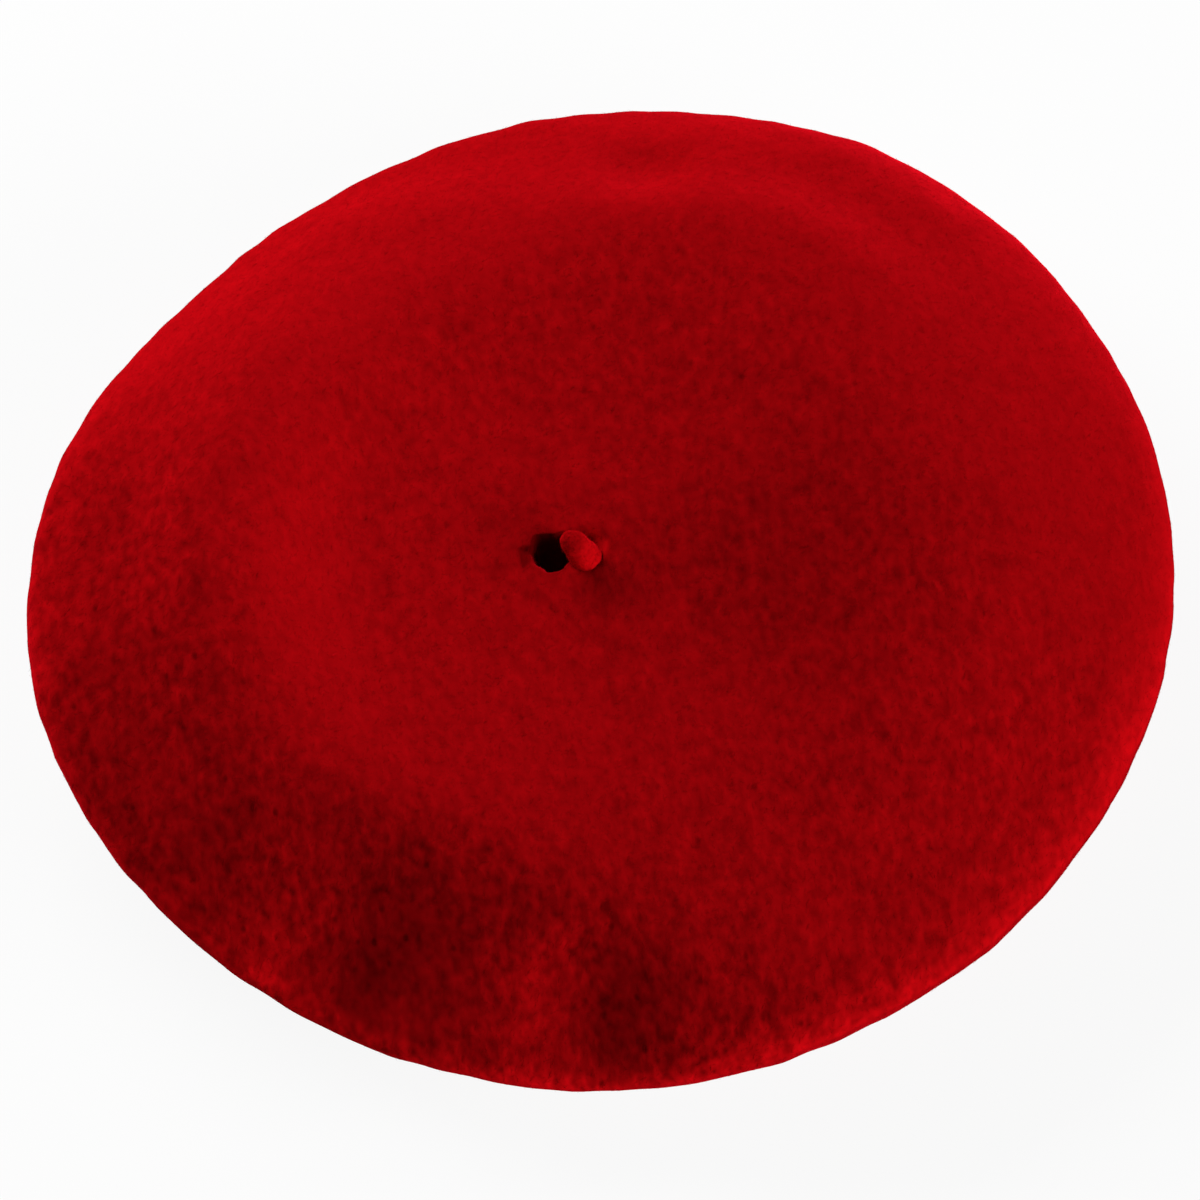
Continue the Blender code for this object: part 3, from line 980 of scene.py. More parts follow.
@dataclass(frozen=True)
class FeltFinish:
    """Brushed wool felt, dyed through. Colours are linear, and the sheen is that of its standing fibres."""

    name: str
    deep: Colour = (0.120, 0.0004, 0.0010)
    bright: Colour = (0.480, 0.0018, 0.0038)
    cloud_size: float = 5.0 * MM
    tuft_size: float = 2.3 * MM
    tuft_share: float = 0.65
    pit_depth: float = 0.22
    contrast: float = 0.90
    # How strongly the stored painted light and shade scale the colour.
    light_and_shade_gain: float = 0.8
    fibre_swing: float = 0.14
    bump_height: float = 0.35 * MM
    roughness: float = 0.95
    sheen: float = 0.55
    sheen_roughness: float = 0.45
    sheen_tint: Colour = (0.95, 0.006, 0.020)

    def dress(self, tree: NodeTree, shader: bpy.types.Node) -> None:
        """Sets what is the same all over: no gloss, and a red sheen.

        Args:
            tree: the material's tree.
            shader: its shader.
        """
        same = {
            "Roughness": self.roughness,
            "Specular IOR Level": 0.0,
            "Sheen Weight": self.sheen,
            "Sheen Roughness": self.sheen_roughness,
            "Sheen Tint": (*self.sheen_tint, 1.0),
        }
        tree.give(shader, same)

    def material(self, mottle: bpy.types.NodeTree) -> bpy.types.Material:
        """The felt's surface.

        Args:
            mottle: the shared group of fulled wool.

        Returns:
            The material.
        """
        material, tree, shader = new_material(self.name)
        where = tree.add("ShaderNodeTexCoord").outputs["Object"]
        wool = tree.add("ShaderNodeGroup", node_tree=mottle)
        settings = {
            "Vector": where,
            "Cloud Size": self.cloud_size,
            "Tuft Size": self.tuft_size,
            "Tuft Share": self.tuft_share,
            "Pit Depth": self.pit_depth,
            # The mottle's contrast, raised where painted relief shading is stored.
            "Contrast": tree.math("MULTIPLY", tree.read(PAINTED_RELIEF), self.contrast),
        }
        tree.give(wool, settings)
        # The colour is scaled down by the stored painted shade and up by the stored painted light.
        dyed = tree.add("ShaderNodeVectorMath", operation="SCALE")
        tree.feed(dyed.inputs[0], tree.mix(wool.outputs["Tone"], self.deep, self.bright))
        left = tree.math("SUBTRACT", 1.0, tree.math("MULTIPLY", tree.read(LIGHT_AND_SHADE), self.light_and_shade_gain))
        tree.feed(tree.socket(dyed.inputs, "Scale"), left)
        normal = tree.bump(wool.outputs["Height"], self.bump_height)
        tree.give(shader, {"Base Color": dyed.outputs[0], "Normal": normal})
        self.dress(tree, shader)
        return material

    def nap_material(self) -> bpy.types.Material:
        """The same wool on single fibres, each a little lighter or darker.

        Returns:
            The material.
        """
        material, tree, shader = new_material(self.name + "_nap")
        share = tree.ramp(tree.read(TONE), 0.0, 1.0, 0.5 - self.fibre_swing, 0.5 + self.fibre_swing)
        tree.feed(shader.inputs["Base Color"], tree.mix(share, self.deep, self.bright))
        self.dress(tree, shader)
        return material


@dataclass(frozen=True)
class SatinFinish:
    """Dark red lining satin. Colours are linear."""

    name: str
    deep: Colour
    bright: Colour
    thread_size: float = 0.22 * MM
    bump_height: float = 0.06 * MM
    bump_strength: float = 0.4
    roughness: float = 0.36
    anisotropy: float = 0.5
    sheen: float = 0.15
    sheen_tint: Colour = (0.60, 0.05, 0.07)

    def material(self, threads: bpy.types.NodeTree) -> bpy.types.Material:
        """The satin's surface, on the cloth's own map in metres.

        Args:
            threads: the shared group of satin threads.

        Returns:
            The material.
        """
        material, tree, shader = new_material(self.name)
        cloth = tree.add("ShaderNodeUVMap", uv_map=CLOTH_MAP)
        weave = tree.add("ShaderNodeGroup", node_tree=threads)
        tree.give(weave, {"Vector": cloth.outputs[0], "Thread Size": self.thread_size})
        settings = {
            "Base Color": tree.mix(weave.outputs["Tone"], self.deep, self.bright),
            "Normal": tree.bump(weave.outputs["Height"], self.bump_height, self.bump_strength),
            "Roughness": self.roughness,
            "Anisotropic": self.anisotropy,
            "Sheen Weight": self.sheen,
            "Sheen Tint": (*self.sheen_tint, 1.0),
        }
        tree.give(shader, settings)
        return material


@dataclass(frozen=True)
class LeatherFinish:
    """Dark smooth leather with a fine pebble. Colours are linear."""

    name: str
    deep: Colour = (0.012, 0.006, 0.005)
    bright: Colour = (0.040, 0.020, 0.016)
    pebble_size: float = 0.75 * MM
    bump_height: float = 0.08 * MM
    bump_strength: float = 0.5

    def material(self, grain: bpy.types.NodeTree) -> bpy.types.Material:
        """The leather's surface.

        Args:
            grain: the shared group of leather grain.

        Returns:
            The material.
        """
        material, tree, shader = new_material(self.name)
        pebbles = tree.add("ShaderNodeGroup", node_tree=grain)
        where = tree.add("ShaderNodeTexCoord").outputs["Object"]
        tree.give(pebbles, {"Vector": where, "Pebble Size": self.pebble_size})
        settings = {
            "Base Color": tree.mix(pebbles.outputs["Tone"], self.deep, self.bright),
            "Roughness": pebbles.outputs["Roughness"],
            "Normal": tree.bump(pebbles.outputs["Height"], self.bump_height, self.bump_strength),
        }
        tree.give(shader, settings)
        return material


@dataclass(frozen=True)
class ThreadFinish:
    """Twisted thread. Colours are linear."""

    name: str
    deep: Colour
    bright: Colour
    ply_size: float = 0.35 * MM
    bands: float = 0.3  # of the wave pattern in each ply
    unevenness: float = 1.5
    slant: Sequence[float] = (0.5, 0.4, 0.6)
    bump_height: float = 0.08 * MM
    bump_strength: float = 0.6
    roughness: float = 0.8

    def material(self) -> bpy.types.Material:
        """The thread's surface, with slanted plies.

        Returns:
            The material.
        """
        material, tree, shader = new_material(self.name)
        where = tree.add("ShaderNodeTexCoord").outputs["Object"]
        turned = tree.add("ShaderNodeMapping", {"Vector": where, "Rotation": self.slant}).outputs[0]
        wave = {"Vector": turned, "Scale": self.bands / self.ply_size, "Distortion": self.unevenness}
        plies = tree.add("ShaderNodeTexWave", wave).outputs["Fac"]
        settings = {
            "Base Color": tree.mix(plies, self.deep, self.bright),
            "Normal": tree.bump(plies, self.bump_height, self.bump_strength),
            "Roughness": self.roughness,
        }
        tree.give(shader, settings)
        return material


# Pieces


def cloth_map(mesh: bpy.types.Mesh, rings: np.ndarray, closed: bool) -> None:
    """Gives a ring-built cloth a map in metres, across the rings and round them.

    Args:
        mesh: a mesh whose first faces come from ring_faces.
        rings: rings, steps and coordinates.
        closed: whether the last ring joins the first.
    """
    count, steps = rings.shape[:2]
    length = np.zeros(count + 1)
    hops = np.linalg.norm(np.roll(rings, -1, axis=0) - rings, axis=-1).mean(axis=1)
    length[1:] = np.cumsum(hops)
    girth = 2 * math.pi * np.linalg.norm(rings[..., :2], axis=-1).mean()
    first = np.arange(count if closed else count - 1)[:, None] + np.zeros((1, steps), int)
    here = np.zeros_like(first) + np.arange(steps)[None, :]
    rows = np.stack((length[first], length[first + 1], length[first + 1], length[first]), axis=-1)
    turns = np.stack((here, here, here + 1, here + 1), axis=-1) * girth / steps
    corners = np.stack((rows, turns), axis=-1).reshape(-1, 2)
    layer = mesh.uv_layers.new(name=CLOTH_MAP)
    values = np.zeros((len(mesh.loops), 2), np.float32)
    values[: len(corners)] = corners
    layer.uv.foreach_set("vector", values.ravel())


@dataclass(frozen=True)
class Nap:
    """Brushed fibres: how many there are to the square metre, their sizes and how far they lean up."""

    density: float
    length: float
    tilt: float
    width: float = 0.045 * MM
    arch: float = 0.05 * MM

    def lay(
        self,
        carrier: bpy.types.Object,
        group: bpy.types.NodeTree,
        seed: int,
        span: float,
        material: bpy.types.Material,
    ) -> bpy.types.Object:
        """Lays the fibres on a surface.

        Args:
            carrier: the surface, named after the new piece with _ground behind it, which is removed.
            group: the nap's geometry node group.
            seed: start of the random draws.
            span: width in metres of the fibres' map.
            material: the fibres' material.

        Returns:
            The fibres.
        """
        values = {
            "Density": self.density,
            "Length": self.length,
            "Width": self.width,
            "Arch": self.arch,
            "Tilt": self.tilt,
            "Seed": seed,
            "Map Span": span,
            "Material": material,
        }
        return grow(carrier.name.removesuffix("_ground"), carrier, group, values)


@dataclass
class FeltBody:
    """Crown, rolled edge, underside and hem as one shell of felt, and the nap on its outside."""

    form: BeretForm
    finish: FeltFinish
    steps: int = 380
    dish_rings: int = 100
    shoulder_rings: int = 36
    under_rings: int = 20
    hem_rings: int = 8
    lump_sizes: Sequence[float] = (28 * MM, 7 * MM)
    lump_heights: Sequence[float] = (0.35 * MM, 0.12 * MM)
    lump_seed: float = 3.7
    edge_lump_size: float = 8 * MM
    edge_lump_height: float = 0.40 * MM
    edge_lump_seed: float = 21.3
    edge_lump_radii: Sequence[float] = (0.122, 0.136)
    lumps_above: float = 0.010
    sectors: int = 4
    nap: Nap = Nap(0.6e6, 2.2 * MM, 0.60)
    nap_seed: int = 11
    # Slopes facing this way get a stronger mottle, as painted shading of the felt's fine relief, within these
    # limits.
    painted_relief_turn: float = 235.0
    painted_relief_gain: float = 4.3
    painted_relief_limits: Sequence[float] = (0.55, 2.4)
    # Painted shade on the steep and downward-facing sides of the edge, and the upward facing at which it
    # starts and where it is full.
    edge_shade: float = 0.60
    edge_steep: Sequence[float] = (0.60, -0.30)
    map_span: float = 0.34
    flat_side: float = 0.37
    flat_area: float = 0.108
    outside: np.ndarray = field(init=False)

    def build(self, mottle: bpy.types.NodeTree) -> bpy.types.Object:
        """Makes the felt shell.

        Args:
            mottle: the shared group of fulled wool.

        Returns:
            The piece.
        """
        path = self.form.outer_path(self.dish_rings, self.shoulder_rings, self.under_rings)
        hem = self.form.hem_path(self.hem_rings)
        inner = inset(path, self.form.felt_thickness)[::-3]
        profile = np.concatenate((path, hem, inner))
        even = lathe(profile, self.steps)
        rings = self.form.drape(even)
        self.outside = self.lumpy(rings[: len(path)])
        rings[: len(path)] = self.outside
        faces = ring_faces(len(profile), self.steps, True)
        piece = mesh_piece("felt_body_shell", rings, faces, self.finish.material(mottle))
        # The mottle's contrast, raised on slopes facing the front left as painted relief shading.
        turn = math.radians(self.painted_relief_turn)
        facing = grid_normals(rings)
        grazed_facing = facing @ np.array((math.cos(turn), math.sin(turn), 0.0)) * facing[..., 2] ** 2
        mark(piece.data, PAINTED_RELIEF, np.clip(1 + self.painted_relief_gain * grazed_facing, *self.painted_relief_limits))
        # Painted shade on the steep sides of the edge, added to the painted light and shade of the pits and
        # patches.
        painted_shade = self.edge_shade * smooth(*self.edge_steep, facing[..., 2])
        mark(piece.data, LIGHT_AND_SHADE, np.minimum(self.form.painted_light_and_shade(even) + painted_shade, 1.0))
        face_outwards(piece.data)
        self.bake_map(piece.data, profile, len(path))
        return piece

    def lumpy(self, rings: np.ndarray) -> np.ndarray:
        """Gives the outside the slight unevenness of felt that was worked by hand.

        Args:
            rings: the outside's rings, steps and coordinates.

        Returns:
            The moved rings.
        """
        places = rings.reshape(-1, 3)
        height = np.zeros(len(places))
        for seed, (size, tall) in enumerate(zip(self.lump_sizes, self.lump_heights)):
            height += tall * waves(places, size, self.lump_seed * (seed + 1))
        at_edge = smooth(*self.edge_lump_radii, np.hypot(places[:, 0], places[:, 1]))
        edge_lumps = waves(places, self.edge_lump_size, self.edge_lump_seed)
        height += self.edge_lump_height * at_edge * edge_lumps
        height *= smooth(0.0, self.lumps_above, places[:, 2])
        return rings + grid_normals(rings) * height.reshape(*rings.shape[:2], 1)

    def bake_map(self, mesh: bpy.types.Mesh, profile: Path, outer: int) -> None:
        """Lays the felt's four faces flat as four discs, with true lengths from the middle outwards.

        Args:
            mesh: the shell.
            profile: the closed line that was turned.
            outer: how many of its points are outside.
        """
        hops = np.linalg.norm(np.roll(profile, -1, axis=0) - profile, axis=1)
        run = np.concatenate(((0.0,), np.cumsum(hops)))
        widest = self.dish_rings + self.shoulder_rings
        fold = outer + self.hem_rings // 2
        back = outer + self.hem_rings + (outer - widest) // 3
        band = np.arange(len(profile))
        disc = np.digitize(band, (widest, fold, back))
        near, far = run[band], run[band + 1]
        eyelet, head = self.form.eyelet_radius, self.form.head_radius

        def from_middle(length: np.ndarray) -> np.ndarray:
            """Radius on its disc of a place along the profile.

            Args:
                length: how far along the profile each place is.

            Returns:
                A radius for each place.
            """
            over, under = eyelet + length, head + run[fold] - length
            turned_in, inside = head + length - run[fold], eyelet + run[-1] - length
            return np.choose(disc, (over, under, turned_in, inside))

        angle = np.linspace(0, 2 * math.pi, self.steps + 1)
        unit = np.column_stack((np.cos(angle), np.sin(angle)))
        middle = np.column_stack((0.25 + 0.5 * (disc % 2), 0.25 + 0.5 * (disc // 2)))[:, None]
        scale = 0.5 / self.map_span
        start = middle + scale * from_middle(near)[:, None, None] * unit
        end = middle + scale * from_middle(far)[:, None, None] * unit
        corners = np.stack((start[:, :-1], end[:, :-1], end[:, 1:], start[:, 1:]), axis=2)
        layer = mesh.uv_layers.new(name=BAKE_MAP)
        layer.uv.foreach_set("vector", corners.astype(np.float32).ravel())

    def build_nap(self, group: bpy.types.NodeTree) -> list[bpy.types.Object]:
        """Lays brushed fibres on the outside, in sectors.

        Args:
            group: the nap's geometry node group.

        Returns:
            One piece for each sector.
        """
        material = self.finish.nap_material()
        last = self.dish_rings + self.shoulder_rings + self.under_rings - 2
        closed = np.concatenate((self.outside[:last], self.outside[:last, :1]), axis=1)
        width = self.steps // self.sectors
        pieces = []
        for sector in range(self.sectors):
            part = closed[:, sector * width : (sector + 1) * width + 1]
            count, steps = part.shape[:2]
            faces = ring_faces(count, steps, False).reshape(count - 1, steps, 4)[:, :-1].reshape(-1, 4)
            carrier = mesh_piece(f"felt_nap_{sector + 1}_ground", part, faces, material)
            pieces.append(self.nap.lay(carrier, group, self.nap_seed + sector, self.map_span, material))
        return pieces

    def dress(self, shell: bpy.types.Object, nap: Iterable[bpy.types.Object]) -> None:
        """Sets the shell and its nap in the frame.

        Args:
            shell: the felt.
            nap: its fibres.
        """
        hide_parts("felt_body")
        for piece in (shell, *nap):
            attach(piece, HAT)


@dataclass
class Stalk:
    """The felt stub in the middle of the crown, its nap, and the knot that holds it from below."""

    form: BeretForm
    finish: FeltFinish
    thread: ThreadFinish
    root_height: float = 0.0315
    root_radius: float = 0.0037
    tip_radius: float = 0.0035
    tip_height: float = 0.0022
    length: float = 0.0044
    lean: Sequence[float] = (-0.44, 0.25)
    lean_from: float = -2.5 * MM
    stand: Sequence[float] = (-1.6 * MM, -1.6 * MM)
    flare: float = 0.2 * MM
    flare_height: float = 1.6 * MM
    foot_depth: float = 5.0 * MM
    bends_from: float = -4.4 * MM
    bends_to: float = -1.8 * MM
    rings: int = 44
    steps: int = 48
    crowding: float = 1.6  # of the rings towards the tip
    lump_sizes: Sequence[float] = (3.6 * MM, 1.2 * MM)
    lump_heights: Sequence[float] = (0.34 * MM, 0.14 * MM)
    lump_seeds: Sequence[float] = (5.1, 8.3)
    nap: Nap = Nap(5.0e6, 1.3 * MM, 0.90)
    nap_seed: int = 31
    map_span: float = 0.02
    # The stub's mottle contrast, the same all round, with no painted relief shading.
    painted_relief_contrast: float = 1.0
    knot_share: float = 0.66  # height of the knot, as a share of its radius
    knot_rings: int = 14
    shank_radius: float = 1.1 * MM
    shank_rings: int = 10
    anchor_steps: int = 40
    wraps: int = 7
    wrap_slant: float = 2600.0  # radians to the metre
    wrap_height: float = 0.12 * MM
    wrapped_radii: Sequence[float] = (0.4 * MM, 1.0 * MM)

    def axis(self, height: np.ndarray) -> np.ndarray:
        """Place of the stub's middle at heights above its root, to the right and to the back.

        Args:
            height: heights, negative below the root.

        Returns:
            Two coordinates for each height.
        """
        rise = np.maximum(height, self.lean_from)
        right = self.form.stalk_x + self.stand[0] + self.lean[0] * rise
        back = self.stand[1] + self.lean[1] * rise
        return np.stack((right, back), axis=-1)

    def radius(self, height: np.ndarray) -> np.ndarray:
        """Radius of the stub at heights above its root.

        Args:
            height: heights, negative below the root.

        Returns:
            A radius for each height.
        """
        dome = self.length - self.tip_height
        taper = self.root_radius + (self.tip_radius - self.root_radius) * np.clip(height / dome, 0, 1)
        over = np.clip((height - dome) / self.tip_height, 0, 1)
        spread = self.flare * (1 - smooth(-self.flare_height, self.flare_height, height))
        return taper * np.cbrt(1 - over**3) + spread

    def build(self, mottle: bpy.types.NodeTree) -> bpy.types.Object:
        """Makes the stub, with a foot that spreads into the felt.

        Args:
            mottle: the shared group of fulled wool.

        Returns:
            The piece.
        """
        share = np.linspace(0, 1, self.rings)
        height = -self.foot_depth + (self.length + self.foot_depth) * (1 - (1 - share) ** self.crowding)
        profile = np.column_stack((np.maximum(self.radius(height), POLE), height))
        rings = lathe(profile, self.steps)[::-1]
        places = rings.reshape(-1, 3)
        lumps = np.zeros(len(places))
        for size, tall, seed in zip(self.lump_sizes, self.lump_heights, self.lump_seeds):
            lumps += tall * waves(places, size, seed)
        rings = rings + grid_normals(rings) * lumps.reshape(*rings.shape[:2], 1)
        rings[..., :2] += self.axis(rings[..., 2])
        rings[..., 2] += self.root_height
        faces = pole_faces(self.rings, self.steps)
        piece = mesh_piece("stalk_stub", rings, faces, self.finish.material(mottle))
        mark(piece.data, PAINTED_RELIEF, np.full(rings.shape[:2], self.painted_relief_contrast))
        face_outwards(piece.data)
        return piece

    def build_nap(self, stub: bpy.types.Object, group: bpy.types.NodeTree) -> bpy.types.Object:
        """Lays fibres on the stub.

        Args:
            stub: the stub.
            group: the nap's geometry node group.

        Returns:
            The fibres.
        """
        carrier = place("stalk_nap_ground", stub.data.copy())
        return self.nap.lay(carrier, group, self.nap_seed, self.map_span, self.finish.nap_material())

    def build_anchor(self) -> bpy.types.Object:
        """Makes the thread shank and wrapped knot under the felt, in the CAD knot's space.

        Returns:
            The piece.
        """
        low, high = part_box("stalk_anchor")
        knot_radius = (high.x - low.x) / 2
        knot = knot_radius * self.knot_share
        half = knot / 2
        round_knot = arc((knot_radius - half, low.z + half), (half, half), -90, 90, self.knot_rings)
        rise = np.linspace(low.z + knot, high.z, self.shank_rings)
        shank = np.column_stack((np.full(self.shank_rings, self.shank_radius), rise))
        path = np.concatenate((((POLE, low.z),), round_knot, shank, ((POLE, high.z),)))
        rings = lathe(path, self.anchor_steps)[::-1]
        angle = np.arctan2(rings[..., 1], rings[..., 0])
        wound = self.wrap_height * np.sin(self.wraps * angle + self.wrap_slant * rings[..., 2])
        inside = smooth(*self.wrapped_radii, np.hypot(rings[..., 0], rings[..., 1]))
        rings = rings - grid_normals(rings) * (inside * (self.wrap_height + wound))[..., None]
        rings[..., 0] += (low.x + high.x) / 2
        faces = pole_faces(len(path), self.anchor_steps)
        piece = mesh_piece("stalk_anchor_knot", rings, faces, self.thread.material())
        face_outwards(piece.data)
        return piece

    def dress(self, stub: bpy.types.Object, nap: bpy.types.Object, anchor: bpy.types.Object) -> None:
        """Hides the CAD stalk and knot, fixes the stub and its fibres where they stand, and sets the knot in
        the frame.

        Args:
            stub: the stub.
            nap: its fibres.
            anchor: the knot.
        """
        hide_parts("stalk")
        for piece in (stub, nap):
            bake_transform(piece)
        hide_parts("stalk_anchor")
        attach(anchor, HAT)


@dataclass
class Lining:
    """Satin inside the felt: a loose disc under the crown and a ring along the rolled edge."""

    form: BeretForm
    crown_finish: SatinFinish
    side_finish: SatinFinish
    thickness: float = 0.0005
    gap: float = 0.0020
    seam_gap: float = 0.0003
    drop: float = 0.0190
    foot_radius: float = 0.1000
    steps: int = 360
    gathers: int = 72
    gather_height: float = 0.55 * MM
    gathers_from: float = 0.55  # share of the crown disc's radius
    crown_rings: int = 60
    crown_start: float = 0.002
    line_rings: Sequence[int] = (64, 30, 20)
    crown_flat: float = 0.155
    crown_area: float = 0.0189
    side_flat: Sequence[float] = (0.115, 0.860)
    side_area: float = 0.075

    def pleats(self, rings: np.ndarray, weight: np.ndarray) -> np.ndarray:
        """Small gathers of the satin, up and down, strongest where the weight is 1.

        Args:
            rings: rings, steps and coordinates.
            weight: one share for each ring.

        Returns:
            The moved rings.
        """
        angle = np.arctan2(rings[..., 1], rings[..., 0])
        slow, quick = np.sin(5 * angle), np.sin(11 * angle + 1.0)
        uneven = 0.5 * slow + 0.4 * quick
        wave = np.sin(self.gathers * angle + 2.0 * uneven)
        size = 0.7 + 0.3 * uneven
        moved = rings.copy()
        moved[..., 2] += self.gather_height * weight[:, None] * wave * size
        return moved

    def build_crown(self, threads: bpy.types.NodeTree) -> bpy.types.Object:
        """Makes the loose disc that hangs under the crown from its seam.

        Args:
            threads: the shared group of satin threads.

        Returns:
            The piece.
        """
        edge = self.crown_radius()
        share = np.linspace(self.crown_start, 1, self.crown_rings)
        seam = np.interp(edge, *self.to_crest(self.inner_line(self.gap)).T)
        height = self.drop + (seam - self.drop) * share**2
        top = np.column_stack((edge * share, height))
        below = top[::-1] - (0.0, self.thickness)
        profile = np.concatenate((top, below))
        weight = smooth(self.gathers_from, 1.0, profile[:, 0] / edge)
        rings = self.form.drape(self.pleats(lathe(profile, self.steps), weight), pitted=False)
        faces = pole_faces(len(profile), self.steps)
        piece = mesh_piece("lining_crown_satin", rings, faces, self.crown_finish.material(threads))
        face_outwards(piece.data)
        cloth_map(piece.data, rings, False)
        return piece

    @staticmethod
    def crown_radius() -> float:
        """Radius of the crown disc, from the CAD's own."""
        low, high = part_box("lining_crown")
        return (high.x - low.x) / 2

    def inner_line(self, gap: float) -> Path:
        """The felt's inside at a distance, from the middle to the foot."""
        return inset(self.form.outer_path(*self.line_rings), self.form.felt_thickness + gap)

    def to_crest(self, line: Path) -> Path:
        """The part of an inner line from the middle to the crest."""
        return line[: self.line_rings[0] + 1]

    def build_side(self, threads: bpy.types.NodeTree) -> bpy.types.Object:
        """Makes the ring from the crown seam along the rolled edge to the underside.

        Args:
            threads: the shared group of satin threads.

        Returns:
            The piece.
        """
        seam = self.crown_radius() + self.seam_gap
        sides = []
        for gap in (self.gap, self.gap + self.thickness):
            line = self.inner_line(gap)
            inside = self.to_crest(line)
            start = (seam, np.interp(seam, *inside.T))
            beyond = line[int(np.searchsorted(inside[:, 0], seam)) : -1]
            sides.append(np.vstack((start, beyond, (self.foot_radius, self.form.felt_thickness + gap))))
        profile = np.concatenate((sides[0], sides[1][::-1]))
        rings = self.form.drape(lathe(profile, self.steps), pitted=False)
        faces = ring_faces(len(profile), self.steps, True)
        piece = mesh_piece("lining_side_satin", rings, faces, self.side_finish.material(threads))
        face_outwards(piece.data)
        cloth_map(piece.data, rings, True)
        return piece

    def dress(self, crown: bpy.types.Object, side: bpy.types.Object) -> None:
        """Sets both pieces of satin in the frame.

        Args:
            crown: the disc.
            side: the ring.
        """
        places = ((crown, "lining_crown", "crown_satin"), (side, "lining_side", "side_satin"))
        for piece, node, slot in places:
            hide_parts(node)
            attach(piece, HAT)


